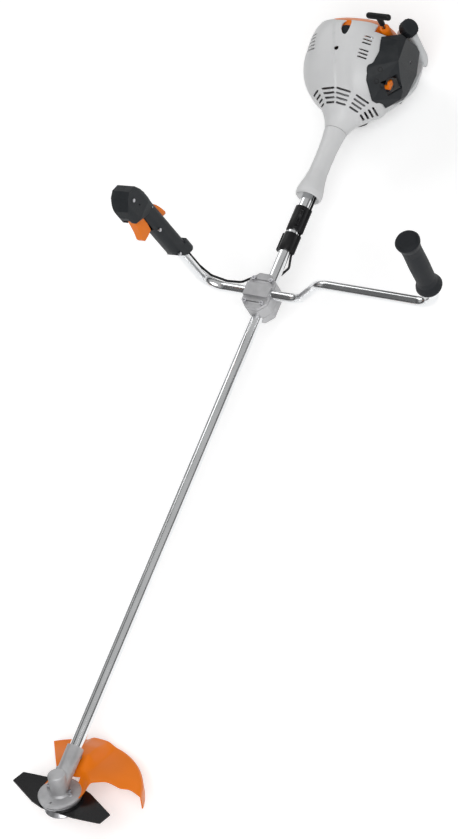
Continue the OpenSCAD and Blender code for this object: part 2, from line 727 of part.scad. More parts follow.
// ---------- throttle cable ----------
cable_r = cable_d / 2;
cable_side = bar_r + cable_r + 1.2; // cable's distance from the bar's centre line
cable_off = [-15.6, -3]; // the cable's place beside the tube, [right, up]
cable_run = clip_u - bar_u; // from the bar to the clip
cable_route = [
    [bar_u + cable_side, 145, 214],
    [bar_u + cable_side, 128, 78],
    [bar_u + cable_side, 114, 44],
    [bar_u + cable_side, 82, 31],
    [bar_u + cable_side + 2, 48, 32],
    [bar_u + cable_run * 50 / 118, 38, 4],
    [bar_u + cable_run * 66 / 118, 4, -21],
    [bar_u + cable_run * 90 / 118, -16, -14],
    [clip_u - 6, cable_off[0], cable_off[1]],
    [bearing_u - 22, cable_off[0], cable_off[1]],
    [-60, -57, -11],
    [-46, -61, 16],
    [-24.4, -60, 41.8]
];
cable_exit = 9; // the point of the route where the cable leaves the tube's side

module throttle_cable() color(ink) engine() bent_rod(cable_route, cable_r, 9);

module cable_clip() color(ink) difference() {
    union() {
        engine_along(clip_u) cylinder(r = tube_r + 3.2, h = 42);
        engine() translate([clip_u, cable_off[0], cable_off[1]]) rotate([0, 90, 0]) cylinder(r = cable_r + 2.4, h = 42);
        engine() translate([clip_u, tube_r - 2, -4]) cube([42, 9, 8]);
    }
    engine_along(clip_u - 7) cylinder(r = tube_r + fit, h = 60);
    engine() translate([clip_u - 7, cable_off[0], cable_off[1]]) rotate([0, 90, 0]) cylinder(r = cable_r + fit, h = 60);
}

eye_r = 7;
eye_lean = 30; // the eye leans from upright to the operator's left
eye_place = [ring_u + 29, 25]; // place along the shaft and height of the carrying eye

module harness_ring() color(ink) difference() {
    union() {
        engine_along(ring_u) cylinder(r = tube_r + 3.6, h = 57);
        engine() translate([ring_u, cable_off[0], cable_off[1]]) rotate([0, 90, 0]) cylinder(r = cable_r + 2.4, h = 57);
        engine() rotate([eye_lean, 0, 0]) translate([eye_place[0], 0, 0]) rotate([90, 0, 0]) translate([0, 0, -3]) {
            translate([-22, tube_r, 0]) cube([44, 12, 6]);
            translate([0, eye_place[1], 0]) cylinder(r = eye_r + 5, h = 6);
        }
    }
    engine_along(ring_u - 7) cylinder(r = tube_r + fit, h = 80);
    engine() translate([ring_u - 7, cable_off[0], cable_off[1]]) rotate([0, 90, 0]) cylinder(r = cable_r + fit, h = 80);
    engine() rotate([eye_lean, 0, 0]) translate([eye_place[0], 0, eye_place[1]]) rotate([90, 0, 0])
        translate([0, 0, -20]) cylinder(r = eye_r, h = 40);
}

// ================= neck and clutch =================
clutch_neck_r = 18.4;
clutch_neck_u = bearing_u - 54;

module neck_sleeve() color(pale) difference() {
    engine_along(0) rotate_extrude() polygon([
        [tube_r + fit, sleeve_u + 16], [tube_r + 8, sleeve_u + 6], [sleeve_mouth_d / 2 - 4, sleeve_u],
        [sleeve_mouth_d / 2 - 1, sleeve_u + 3], [sleeve_mouth_d / 2, sleeve_u + 12],
        [sleeve_mouth_d / 2 - 2, sleeve_u + 24], [23, sleeve_u + 42], [20.4, sleeve_u + 62],
        [sleeve_waist_d / 2, sleeve_u + 90], [20.2, sleeve_u + 120], [21.8, sleeve_u + 145],
        [24.2, cone_u - 1], [clutch_neck_r + 0.1, cone_u - 1], [clutch_neck_r + 0.1, clutch_neck_u - 1],
        [tube_r + fit, clutch_neck_u - 6]
    ]);
    engine() translate([sleeve_u - 10, cable_off[0], cable_off[1]]) rotate([0, 90, 0]) cylinder(r = cable_r + 0.2, h = 300);
}

housing_r = 46;
housing_u = bearing_u + 44;

module clutch_housing() color(cast) difference() {
    engine_along(0) rotate_extrude() polygon([
        [tube_r + fit, clutch_neck_u], [clutch_neck_r, clutch_neck_u], [clutch_neck_r, bearing_u - 16],
        [24, bearing_u], [24, bearing_u + 9], [housing_r - 14, bearing_u + 14],
        [housing_r - 14, bearing_u + 32], [housing_r, housing_u],
        [housing_r, housing_u + 18], [housing_r - 4, housing_u + 18], [housing_r - 4, housing_u + 2],
        [housing_r - 17, bearing_u + 33], [housing_r - 17, bearing_u + 16.5], [17, bearing_u + 15],
        [13 + fit, bearing_u + 15], [13 + fit, bearing_u], [tube_r + fit, bearing_u]
    ]);
    engine() translate([bearing_u - 64, cable_off[0], cable_off[1]]) rotate([0, 90, 0]) cylinder(r = cable_r + 0.8, h = 46);
    engine() lay_rod(cable_route[cable_exit], unit(cable_route[cable_exit + 1] - cable_route[cable_exit]), 40, cable_r + 1);
}

drum_wall = 2.2;
module clutch_drum() color(steel) difference() {
    union() {
        engine_along(bearing_u + 0.2) cylinder(r = 8, h = 18);
        engine_along(bearing_u + 17.5) cylinder(r = drum_d / 2, h = 28);
    }
    engine_along(bearing_u + 20.5) cylinder(r = drum_d / 2 - drum_wall, h = 40);
    engine_along(bearing_u - 5) cylinder(r = shaft_r + fit, h = 30);
}

shoe_r = drum_d / 2 - drum_wall - 1.4;
module clutch_shoe() {
    difference() {
        translate([0, 0, 0]) cylinder(r = shoe_r, h = 16);
        translate([0, 0, -1]) cylinder(r = 12, h = 18);
        translate([-60, -60, -1]) cube([120, 62.5, 18]);
        // Slot that rides on the carrier's arm
        translate([-4.3, 0, -1]) cube([8.6, 19, 18]);
    }
}
module clutch_shoe_upper() color(steel) engine_along(bearing_u + 24) rotate([0, 0, 90]) clutch_shoe();
module clutch_shoe_lower() color(steel) engine_along(bearing_u + 24) rotate([0, 0, 270]) clutch_shoe();

// ================= engine =================
crank_r = stroke / 2;
web_r = 21;
web_t = 8;
web_gap = 15; // space between the webs
rod_len = 44;
pin_w = crank_r + rod_len; // height of the piston pin at the top of the stroke
crown_w = pin_w + 16;
main_r = 6;
case_front = housing_u + 18.5;
case_back = 38;

module crankcase() color(cast) difference() {
    union() {
        engine() translate([case_front, -34, -38]) cube([case_back - case_front, 68, 74]);
        engine_along(case_front - 0.4) cylinder(r = housing_r, h = 6);
    }
    engine_along(-web_gap / 2 - web_t - 1) cylinder(r = web_r + 2, h = web_gap + 2 * web_t + 2);
    engine() cylinder(r = bore_d / 2, h = 60);
    engine() translate([0, 0, -web_r - 2]) cylinder(r = 12, h = 30);
    engine_along(case_front - 5) cylinder(r = main_r + 0.6, h = 200);
    engine_along(case_front + 4) cylinder(r = 12 + fit, h = -web_gap / 2 - web_t - case_front - 4);
    engine_along(web_gap / 2 + web_t) cylinder(r = 12 + fit, h = case_back - 4 - web_gap / 2 - web_t);
}

module engine_bearings() color(steel) {
    engine_along(bearing_u + 0.3) ring(13, 8 + fit, 11);
    engine_along(case_front + 4.2) ring(12, main_r + fit, 8);
    engine_along(case_back - 12.2) ring(12, main_r + fit, 8);
}

module crankshaft() color(steel) {
    front_web = -web_gap / 2 - web_t;
    back_web = web_gap / 2;
    engine_along(bearing_u + 23.5) cylinder(r = main_r, h = front_web - bearing_u - 23.5);
    engine_along(bearing_u + 23) cylinder(r = 10.5, h = 18);
    for (s = [0, 1]) engine_along(bearing_u + 25) rotate([0, 0, 90 + 180 * s]) translate([-4, 8, 0]) cube([8, 10, 14]);
    for (u = [front_web, back_web]) engine_along(u) difference() {
        cylinder(r = web_r, h = web_t);
        for (s = [-1, 1]) translate([-web_r, s * 15 - 5, -1]) cube([16, 10, web_t + 2]);
    }
    engine_along(back_web + web_t) cylinder(r = main_r, h = 72 - back_web - web_t);
}

module con_rod() color(steel) engine() difference() {
    union() {
        for (p = [[crank_r, 8.5], [pin_w, 6.5]])
            translate([-4.5, 0, p[0]]) rotate([0, 90, 0]) cylinder(r = p[1], h = 9);
        translate([-2.5, -4, crank_r + 7]) cube([5, 8, rod_len - 12]);
    }
    translate([-10, 0, crank_r]) rotate([0, 90, 0]) cylinder(r = 5 + fit, h = 20);
    translate([-10, 0, pin_w]) rotate([0, 90, 0]) cylinder(r = 4 + fit, h = 20);
}

module piston() color(alloy) engine() difference() {
    translate([0, 0, pin_w - 8]) cylinder(r = bore_d / 2 - fit, h = crown_w - pin_w + 8);
    translate([-7, -9.5, pin_w - 10]) cube([14, 19, 20]);
    translate([-30, 0, pin_w]) rotate([0, 90, 0]) cylinder(r = 4 + fit, h = 60);
    for (z = [crown_w - 3, crown_w - 6]) translate([0, 0, z - 1.2]) ring(bore_d, bore_d / 2 - 1, 1.2);
}

// The pin in the rod's big end and the pin in the piston
module rod_pins() color(steel) engine() {
    translate([-web_gap / 2 + gap, 0, crank_r]) rotate([0, 90, 0]) cylinder(r = 5, h = web_gap - 2 * gap);
    translate([-bore_d / 2 + 2, 0, pin_w]) rotate([0, 90, 0]) cylinder(r = 4, h = bore_d - 4);
}

fin_r = bore_d / 2 + 14;
head_top = crown_w + 12;
plug_dir = unit([0.88, 0.2, 0.43]);
plug_seat = [12, 2, head_top - 4];

module on_plug(d) {
    yaw = atan2(plug_dir.y, plug_dir.x);
    pitch = acos(plug_dir.z);
    engine() translate(plug_seat) rotate([0, 0, yaw]) rotate([0, pitch, 0]) translate([0, 0, d]) children();
}

module cylinder_block() {
    low = 37;
    translate([0, 0, low]) cylinder(r = bore_d / 2 + 3, h = head_top - low);
    for (z = [low + 4 : 6 : head_top - 2]) translate([0, 0, z]) intersection() {
        cylinder(r = fin_r, h = 2);
        translate([-30, -fin_r, -1]) cube([60, 2 * fin_r, 4]);
    }
    translate([-19, -19, 36]) cube([38, 38, 5]);
}
module engine_cylinder() color(alloy) difference() {
    union() {
        engine() cylinder_block();
        engine() translate([-12, 0, 46]) cube([24, 35, 22]);
        engine() translate([-12, -35, 42]) cube([24, 35, 20]);
    }
    engine() translate([0, 0, 30]) cylinder(r = bore_d / 2, h = crown_w + 1 - 30);
    engine() translate([0, 10, 57]) rotate([-90, 0, 0]) cylinder(r = 7, h = 30);
    engine() translate([0, -40, 52]) rotate([-90, 0, 0]) cylinder(r = 6, h = 30);
    on_plug(-9) cylinder(r = 5 + fit, h = 30);
    on_plug(4) cylinder(r = 11, h = 30);
}

module spark_plug() color(alloy) {
    on_plug(-7.4) cylinder(r = 5, h = 11.4);
    on_plug(4) cylinder(r = 9.5, h = 9, $fn = 6);
    on_plug(13) cylinder(r = 6, h = 6);
}
module plug_boot() color(ink) {
    difference() {
        on_plug(13.5) cylinder(r = 9, h = 46);
        on_plug(13) cylinder(r = 6 + fit, h = 6 + fit);
    }
}

module flywheel() color(alloy) {
    difference() {
        union() {
            engine_along(44) cylinder(r = flywheel_d / 2 - 8, h = 5);
            engine_along(44) cylinder(r = 13, h = 20);
            engine_along(44) ring(flywheel_d / 2 - 6, flywheel_d / 2 - 12, 12);
            for (a = [0 : 24 : 336]) engine_along(46) rotate([0, 0, a]) translate([flywheel_d / 2 - 16, -1.2, 0]) cube([15.5, 2.4, 14]);
        }
        engine_along(40) cylinder(r = main_r + fit, h = 40);
    }
}

module ignition_module() color(ink) engine() rotate([32, 0, 0]) {
    translate([42, -15, flywheel_d / 2 + 1]) cube([14, 30, 22]);
    translate([case_back + gap, -6, 26]) cube([3.6, 12, flywheel_d / 2 - 12]);
    translate([case_back + gap, -6, flywheel_d / 2 + 4]) cube([5, 12, 10]);
}

// ---------- starter ----------
pulley_u = 76;
pulley_r = pulley_d / 2;
guide = [pulley_u, -67, 98]; // where the rope leaves the starter housing
guide_dist = norm([guide.y, guide.z]);
guide_angle = atan2(guide.z, guide.y) + acos(pulley_r / guide_dist);
rope_start = [pulley_u, pulley_r * cos(guide_angle), pulley_r * sin(guide_angle)];
rope_dir = unit(guide - rope_start);
rope_r = 1.6;
grip_u = [pulley_u, guide.y, guide.z + 12];

starter_sections = [
    [66, 99, 68, 99, 40, 3], [79, 101, 69, 100, 41, 3], [81.5, 108, 71, 106, 43, 3],
    [98, 107, 71, 105, 43, 3], [108, 100, 67, 99, 39, 2.8], [115, 86, 58, 86, 32, 2.6],
    [118, 66, 46, 68, 24, 2.4]
];
horn_r = 11.5; // the horn that leads the rope out

module starter_housing() color(orange) difference() {
    union() {
        engine() loft(starter_sections, 0, 40);
        engine() translate([guide.x, guide.y, 48]) cylinder(r = horn_r, h = guide.z - 48);
    }
    engine() loft([for (i = [0 : 5]) starter_sections[i] - [i == 0 ? 4 : i == 2 ? 0 : 2.4, 0, 0, 0, 0, 0]], 2.4, 40);
    engine() translate([guide.x, guide.y, 46]) cylinder(r = horn_r - 2, h = guide.z - 48.5);
    // Air slots
    for (a = [0 : 30 : 330]) engine() translate([102, 0, 28]) rotate([a, 0, 0]) translate([0, -2, 22]) cube([30, 4, 24]);
    // Way of the rope, and the notch of the plug boot
    engine() lay_rod(rope_start, rope_dir, guide_dist, rope_r + 1.8);
    on_plug(20) cylinder(r = 10, h = 80);
    engine() translate([guide.x, guide.y, guide.z - 12]) cylinder(r = 3.4, h = 30);
}

module starter_pulley() color(ink) difference() {
    union() {
        engine_along(pulley_u - 5) cylinder(r = pulley_r - rope_r, h = 10);
        for (u = [-7, 4.5]) engine_along(pulley_u + u) cylinder(r = pulley_r + 3, h = 2.5);
    }
    engine_along(pulley_u - 10) cylinder(r = 6 + fit, h = 30);
}

module starter_rope() color(orange) engine() {
    lay_rod(rope_start, rope_dir, norm(guide - rope_start), rope_r);
    translate(guide) sphere(r = rope_r + swell);
    translate(guide) cylinder(r = rope_r, h = grip_u.z - guide.z + 7);
}

module starter_grip() color(ink) engine() translate(grip_u) difference() {
    union() {
        cylinder(r1 = 6, r2 = 7, h = 26);
        hull() for (s = [-1, 1]) translate([0, s * 22, 0]) {
            translate([0, 0, 25]) sphere(r = 6, $fn = 24);
            translate([0, 0, 27]) sphere(r = 6.5, $fn = 24);
        }
    }
    translate([0, 0, -1]) cylinder(r = rope_r + 0.1, h = 9);
}

// ---------- shroud ----------
tank_high = -max(housing_r, flywheel_d / 2) - 0.4; // the tank's flat top
half = shroud_half;
top = shroud_top;
shroud_sections = [
    [cone_u, 24.5, 24.5, 24.5, 24.5, 2], [cone_u + 18, 31, 31, 31, 30, 2], [cone_u + 36, 42, 42, 42, 38, 2.1],
    [cone_u + 52, 56, 64, 55, 44, 2.2], [cone_u + 66, 76, 86, 70, 48, 2.4], [-50, 94, 93, 84, 50, 2.6],
    [-32, 105, 102, 94, 50, 2.8], [-8, half - 1, 107, 103, 50, 3], [18, half, 108, 108, 50, 3.1],
    [48, half, 108, top, 50, 3.2], [68, half - 1, 106, top - 1, 50, 3.1],
    [80, half - 4, 103, top - 3, 50, 3]
];

// Corners of the filter cover on the shroud and of its outer face
cover_rim = [
    [-14, -105, -27], [48, -107, -24], [91, -106, 0], [91, -106, 22], [72, -104, 84],
    [50, -72, 99], [-21, -63, 90], [-43, -65, 75], [-69, -77, 42], [-58, -88, 1]
];
cover_points = concat(cover_rim, [
    [12, -118, 78], [-3, -118, 50], [-18, -118, 12], [-30, -114, 0], [-8, -117, -14], [42, -118, -16],
    [87, -115, 4], [87, -115, 22], [66, -115, 78], [52, -107, 92]
]);
cover_centre = [10, -60, 40];

module cover_body(inset) {
    hull() for (p = cover_points) {
        q = p + inset * unit(cover_centre - p);
        translate(q) cube(2, center = true);
    }
}

module vent_row(count, pitch, long, wide, deep) {
    for (i = [0 : count - 1]) translate([i * pitch, -long / 2, 0]) cube([wide, long, deep]);
}

module shroud() color(pale) difference() {
    engine() loft(shroud_sections, 0, 48);
    engine() loft([for (i = [0 : len(shroud_sections) - 1])
        shroud_sections[i] + [i == 0 ? -1 : i == len(shroud_sections) - 1 ? 1 : 0.6, 0, 0, 0, 0, 0]], shroud_wall, 48);
    // Open below, where the tank is
    engine() translate([-84, -200, tank_high + gap - 200]) cube([300, 400, 200]);
    // Window of the filter cover
    engine() translate([0, -70, 0]) rotate([90, 0, 0]) linear_extrude(height = 80) offset(delta = -6)
        polygon([for (p = cover_rim) [p[0], p[2]]]);
    // Air slots in the cone
    for (a = [-64 : 32 : 64]) engine() rotate([a, 0, 0]) translate([-87, 0, 0]) rotate([0, -52, 0])
        translate([2, 0, 40]) vent_row(4, 8, 26, 3.6, 60);
    // Air slots over the muffler
    for (z = [48, 76]) for (i = [0 : 3]) engine() translate([12 + i * 9, 60, z]) cube([4, 80, 20]);
    // Air slots beside the filter cover
    for (i = [0 : 2]) engine() translate([28 + i * 8, -52, 60]) cube([3.6, 16, 80]);
    for (i = [0 : 1]) engine() translate([i * 8, -58, 60]) cube([3.6, 16, 80]);
    // Notch of the rope's horn
    engine() translate([60, -120, 40]) cube([40, 68, 80]);
    // Access hole and the notch of the plug boot
    engine() translate([2, 8, 60]) cylinder(r = 5, h = 80);
    on_plug(20) cylinder(r = 11, h = 80);
}

muffler_low = 14;
muffler_high = 72;
module muffler_box(inset) {
    engine() translate([0, 35.2 + inset, 0]) rotate([-90, 0, 0]) linear_extrude(height = 49 - 2 * inset)
        hull() for (x = [-8, 34], z = [muffler_low + 8, muffler_high - 8]) translate([x, -z]) circle(r = 8 - inset);
}

module muffler() color(steel) difference() {
    muffler_box(0);
    muffler_box(1.5);
    engine() translate([0, 30, 57]) rotate([-90, 0, 0]) cylinder(r = 7, h = 12);
    engine() translate([22, 60, 62]) cylinder(r = 5, h = 40);
}

module carburettor() color(alloy) difference() {
    union() {
        engine() translate([-22, -74, 32]) cube([44, 36, 40]);
        engine() translate([-12, -38, 42]) cube([24, 2.8, 20]);
        engine() translate([-14, -77.8, 38]) cube([28, 6, 28]);
    }
    engine() translate([0, -90, 52]) rotate([-90, 0, 0]) cylinder(r = 6, h = 70);
}

module air_filter() color(ink) {
    engine() translate([6, -104, 20]) cube([56, 23, 46]);
    engine() difference() {
        intersection() {
            translate([-50, -81, 8]) cube([110, 3, 66]);
            cover_body(7);
        }
        translate([0, -90, 52]) rotate([-90, 0, 0]) cylinder(r = 6, h = 20);
        translate([primer_place[0], -90, primer_place[1]]) rotate([-90, 0, 0]) cylinder(r = 7.5 + gap, h = 20);
    }
}

choke_pivot = [-34, 44];

module filter_cover() color(charcoal) difference() {
    engine() cover_body(0);
    engine() translate([0, 3, 0]) cover_body(3.5);
    // Seated on the shroud
    engine() loft(shroud_sections, -gap, 48);
    // Opening of the choke lever
    engine() translate([-44, -140, 26]) rotate([0, 12, 0]) cube([30, 60, 38]);
    engine() translate([44, -140, 27]) rotate([-90, 0, 0]) cylinder(r = 3.1, h = 60);
}

module choke_lever() color(orange) engine() {
    translate([choke_pivot[0], -104, choke_pivot[1]]) rotate([-90, 0, 0]) cylinder(r = 5, h = 22.7);
    translate([choke_pivot[0], -107, choke_pivot[1]]) rotate([90, 0, 0]) mirror([0, 0, 1]) linear_extrude(height = 5)
        polygon([[-3.6, -3], [12, -4], [14, 8], [4, 13], [-3.6, 6]]);
}

primer_place = [-30, 31];
module primer_bulb() color(ink) engine() translate([primer_place[0], -79.5, primer_place[1]]) rotate([90, 0, 0]) {
    cylinder(r = 7.5, h = 14);
    translate([0, 0, 14]) intersection() {
        sphere(r = 6.5);
        cylinder(r = 8, h = 8);
    }
}

// ---------- tank ----------
// A section of the tank is [u, right, left, bottom, power].
tank_sections = [
    [-80, 62, 66, 78, 3], [-68, 84, 90, 92, 3.4], [-48, 96, 104, 104, 3.6], [-20, 102, 110, 109, 3.8],
    [50, 102, 112, 110, 3.8], [86, 98, 111, 106, 3.6], [104, 90, 106, 98, 3.4], [113, 78, 96, 88, 3]
];
cap_dir = unit([0.1, -0.72, 0.68]);
neck_base = [102, -85, 46];

// Filler column: its middle, its size along the shaft and across it, and its top
filler = [104.5, -98];
filler_u = 22;
filler_v = 30;
filler_top = 42;

module tank_body(wall) {
    loft([for (s = tank_sections) [s[0] + (s[0] < 10 ? wall : -wall), s[1], s[2], 62, s[3], s[4]]], wall, 40);
}

module on_cap(d) {
    yaw = atan2(cap_dir.y, cap_dir.x);
    pitch = acos(cap_dir.z);
    engine() translate(neck_base) rotate([0, 0, yaw]) rotate([0, pitch, 0]) translate([0, 0, d]) children();
}

module fuel_tank() color(pale) difference() {
    union() {
        difference() {
            engine() tank_body(0);
            engine() translate([-140, -200, tank_high]) cube([300, 400, 200]);
        }
        // Filler column at the rear left
        engine() translate([filler.x, filler.y, -80]) linear_extrude(height = filler_top + 80) clamp_plan(filler_u, filler_v, 9);
        on_cap(-6) cylinder(r = 11, h = 30);
    }
    engine() difference() {
        tank_body(tank_wall);
        translate([-140, -200, tank_high - tank_wall]) cube([300, 400, 200]);
    }
    engine() translate([filler.x, filler.y, -79]) linear_extrude(height = filler_top + 79 - tank_wall)
        clamp_plan(filler_u - 2 * tank_wall, filler_v - 2 * tank_wall, 9 - tank_wall);
    on_cap(-4) cylinder(r = 8.5, h = 40);
}

module fuel_cap() color(charcoal) difference() {
    union() {
        on_cap(15) cylinder(r = cap_d / 2, h = 18);
        for (a = [0 : 20 : 340]) on_cap(17) rotate([0, 0, a]) translate([cap_d / 2 - 0.6, -1.2, 0]) cube([1.6, 2.4, 15]);
    }
    on_cap(14) cylinder(r = 11 + gap, h = 10 + gap);
}

module engine_foot() color(ink) engine() translate([0, 0, -shaft_h]) linear_extrude(height = shaft_h - 110 - gap)
    clamp_plan(foot_l, foot_w, 12);

// Draw
gearhead_housing();
gearhead_bearings();
input_pinion();
output_gear();
spindle();
thrust_plate();
blade();
thrust_washer();
rider_plate();
blade_nut();
deflector();
head_screws();
drive_tube();
drive_shaft();
shaft_bushes();
handlebar();
clamp_base();
clamp_middle();
clamp_cap();
clamp_screws();
left_grip();
handle_left_half();
handle_right_half();
handle_screws();
throttle_trigger();
lockout_lever();
stop_slider();
throttle_cable();
cable_clip();
harness_ring();
neck_sleeve();
clutch_housing();
clutch_drum();
clutch_shoe_upper();
clutch_shoe_lower();
shroud();
crankcase();
crankshaft();
engine_bearings();
con_rod();
rod_pins();
piston();
engine_cylinder();  // cylinder
spark_plug();
plug_boot();
flywheel();
ignition_module();
starter_housing();
starter_pulley();
starter_rope();
starter_grip();
muffler();
carburettor();
air_filter();
filter_cover();
choke_lever();
primer_bulb();
fuel_tank();
fuel_cap();
engine_foot();
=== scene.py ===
"""Looks of a petrol brush mower: camera, light, finishes and the pieces that detail its frame."""
import json
import math

import bmesh
import bpy
from mathutils import Matrix, Vector


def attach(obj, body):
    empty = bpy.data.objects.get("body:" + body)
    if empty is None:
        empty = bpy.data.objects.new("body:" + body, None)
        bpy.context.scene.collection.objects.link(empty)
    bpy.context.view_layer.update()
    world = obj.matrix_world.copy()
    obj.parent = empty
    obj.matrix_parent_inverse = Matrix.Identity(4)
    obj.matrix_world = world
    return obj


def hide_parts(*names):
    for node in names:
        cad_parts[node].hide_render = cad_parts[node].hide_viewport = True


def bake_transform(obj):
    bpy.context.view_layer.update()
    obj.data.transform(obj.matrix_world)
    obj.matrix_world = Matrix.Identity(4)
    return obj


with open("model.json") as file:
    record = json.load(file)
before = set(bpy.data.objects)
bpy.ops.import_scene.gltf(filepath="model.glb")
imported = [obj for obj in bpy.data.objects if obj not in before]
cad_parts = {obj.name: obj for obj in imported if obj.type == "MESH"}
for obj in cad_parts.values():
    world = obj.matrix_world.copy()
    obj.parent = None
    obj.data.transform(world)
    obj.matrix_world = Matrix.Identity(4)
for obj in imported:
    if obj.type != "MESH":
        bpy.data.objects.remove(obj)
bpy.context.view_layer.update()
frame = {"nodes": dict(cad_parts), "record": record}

MM = 0.001
FOOT_U = 1640.0      # distance along the shaft from the blade axis to the foot's centre
SHAFT_H = 118.0      # height of the shaft's centre line
HEAD_TILT = math.radians(29.7)


def at(u, v, w):
    """A point of the tool, in millimetres along, right and up, in the row frame in metres."""
    return Vector(((u - FOOT_U) * MM, v * MM, (w + SHAFT_H) * MM))


def by_engine(u, v, w):
    """A point given from the foot's centre along, right and up from the shaft's line."""
    return at(u + FOOT_U, v, w)


def on_head(x, y, z):
    """A point of the cutting head, whose Z is the blade's axis."""
    return at(x * math.cos(HEAD_TILT) + z * math.sin(HEAD_TILT), y,
              -x * math.sin(HEAD_TILT) + z * math.cos(HEAD_TILT))


# ---------------------------------------------------------------- camera
LENS = 106.5
CAMERA_AT = (-2.56819, -2.35970, 4.16132)
CAMERA_X = (0.36262636, -0.86661511, -0.34275409)
CAMERA_Y = (0.86391706, 0.17466883, 0.47237497)
CAMERA_Z = (-0.34949883, -0.46740672, 0.8120231)


def add_camera():
    """The camera that was fitted to the photograph."""
    data = bpy.data.cameras.new("camera")
    data.lens = LENS
    data.sensor_width = 36.0
    data.clip_end = 60.0
    camera = bpy.data.objects.new("camera", data)
    bpy.context.scene.collection.objects.link(camera)
    turn = Matrix((CAMERA_X, CAMERA_Y, CAMERA_Z)).transposed().to_4x4()
    camera.matrix_world = Matrix.Translation(CAMERA_AT) @ turn
    bpy.context.scene.camera = camera


# ---------------------------------------------------------------- shader maths
class Value:
    """A node's output on which Python arithmetic adds Math nodes."""

    def __init__(self, tree, socket):
        self.tree, self.socket = tree, socket

    def math(self, operation, *others):
        node = self.tree.nodes.new("ShaderNodeMath")
        node.operation = operation
        for socket, value in zip(node.inputs, (self,) + others):
            if isinstance(value, Value):
                self.tree.links.new(value.socket, socket)
            else:
                socket.default_value = value
        return Value(self.tree, node.outputs[0])

    def __add__(self, other): return self.math("ADD", other)
    def __mul__(self, other): return self.math("MULTIPLY", other)
    def __sub__(self, other): return self.math("SUBTRACT", other)
    def __rsub__(self, other): return (self * -1.0) + other
    __rmul__ = __mul__

    def step(self, low, high):
        """0 below low, 1 above high, and smooth between them."""
        node = self.tree.nodes.new("ShaderNodeMapRange")
        node.interpolation_type = "SMOOTHSTEP"
        self.tree.links.new(self.socket, node.inputs["Value"])
        node.inputs["From Min"].default_value = low
        node.inputs["From Max"].default_value = high
        return Value(self.tree, node.outputs["Result"])


class Finish:
    """A material made of nodes round one Principled shader."""

    def __init__(self, name, **sockets):
        self.material = bpy.data.materials.new(name)
        self.material.use_nodes = True
        self.tree = self.material.node_tree
        self.shader = self.tree.nodes["Principled BSDF"]
        for key, value in sockets.items():
            self.set(key.replace("_", " "), value)

    def set(self, key, value):
        socket = self.shader.inputs[key]
        if isinstance(value, Value):
            self.tree.links.new(value.socket, socket)
        else:
            socket.default_value = value

    def node(self, kind, settings=(), out=0, **sockets):
        """Adds a node: its settings first, then its sockets; gives the output that is asked for."""
        node = self.tree.nodes.new("ShaderNode" + kind)
        for key, value in dict(settings).items():
            setattr(node, key, value)
        for key, value in sockets.items():
            # A socket is given by its name, or as _6 by its place where names repeat
            name = key.replace("_", " ")
            socket = node.inputs[int(key[1:])] if key[1:].isdigit() else node.inputs[name]
            if isinstance(value, Value):
                self.tree.links.new(value.socket, socket)
            else:
                socket.default_value = value
        return Value(self.tree, node.outputs[out])

    def place(self, stretch=(1.0, 1.0, 1.0)):
        """Where a point lies on the tool, in metres, stretched along the axes."""
        spot = self.node("TexCoord", out="Object")
        return self.node("Mapping", {"vector_type": "POINT"}, Vector=spot, Scale=stretch)

    def noise(self, scale, detail=2.0, stretch=(1.0, 1.0, 1.0), roughness=0.5):
        """Cloudy noise, finer as scale grows."""
        return self.node("TexNoise", Vector=self.place(stretch), Scale=scale, Detail=detail,
                         Roughness=roughness)

    def cells(self, scale):
        """Distance from the middle of the nearest cell."""
        return self.node("TexVoronoi", Vector=self.place(), Scale=scale)

    def mix(self, factor, first, second):
        """A colour between two others."""
        return self.node("Mix", {"data_type": "RGBA"}, out=2, _0=factor, _6=first, _7=second)

    def bump(self, height, depth):
        """Relief of the surface, depth in metres."""
        self.set("Normal", self.node("Bump", Height=height, Distance=depth, Strength=1.0))


SCUFFED = (0.62, 0.62, 0.62, 1.0)
DUST = (0.42, 0.41, 0.39, 1.0)
BARE_METAL = (0.16, 0.16, 0.17, 1.0)


def shade(colour, by):
    """The colour made darker or lighter."""
    return tuple(min(1.0, c * by) for c in colour[:3]) + (1.0,)


def moulded_plastic(name, colour, rough, grain, depth, dust=0.0, scuff=0.08, gloss=0.4):
    """Injection-moulded plastic: fine grain, soft colour drift, scuffs and a little dust."""
    f = Finish(name)
    f.set("Specular IOR Level", gloss)
    drift = f.noise(9.0, 3.0).step(0.3, 0.7)
    speck = f.noise(grain, 2.0, roughness=0.6)
    scuffs = f.noise(60.0, 6.0, (1.0, 6.0, 2.5), 0.7).step(0.62, 0.78)
    tint = f.mix(drift, shade(colour, 0.95), shade(colour, 1.04))
    tint = f.mix(scuffs * scuff, tint, SCUFFED)
    if dust:
        up = f.node("SeparateXYZ", out="Z", Vector=f.node("NewGeometry", out="Normal")).step(0.2, 1.0)
        tint = f.mix(up * f.noise(35.0, 5.0).step(0.35, 0.75) * dust, tint, DUST)
    f.set("Base Color", tint)
    f.set("Roughness", speck * 0.12 + drift * 0.05 + scuffs * 0.15 + (rough - 0.08))
    f.bump(speck + f.cells(grain * 0.55) * 0.5, depth)
    return f.material


def drawn_aluminium(name, colour, rough):
    """Bright drawn tube: long fine draw lines, soft stains and small dings."""
    f = Finish(name, Metallic=1.0)
    lines = f.noise(900.0, 3.0, (0.006, 1.0, 1.0), 0.6)
    stains = f.noise(14.0, 4.0).step(0.35, 0.75)
    dings = f.cells(90.0).step(0.02, 0.12)
    f.set("Base Color", f.mix(stains, shade(colour, 0.93), shade(colour, 1.0)))
    f.set("Roughness", lines * 0.12 + stains * 0.06 + (rough - 0.06))
    f.bump(lines * 0.5 + dings, 0.00006)
    return f.material


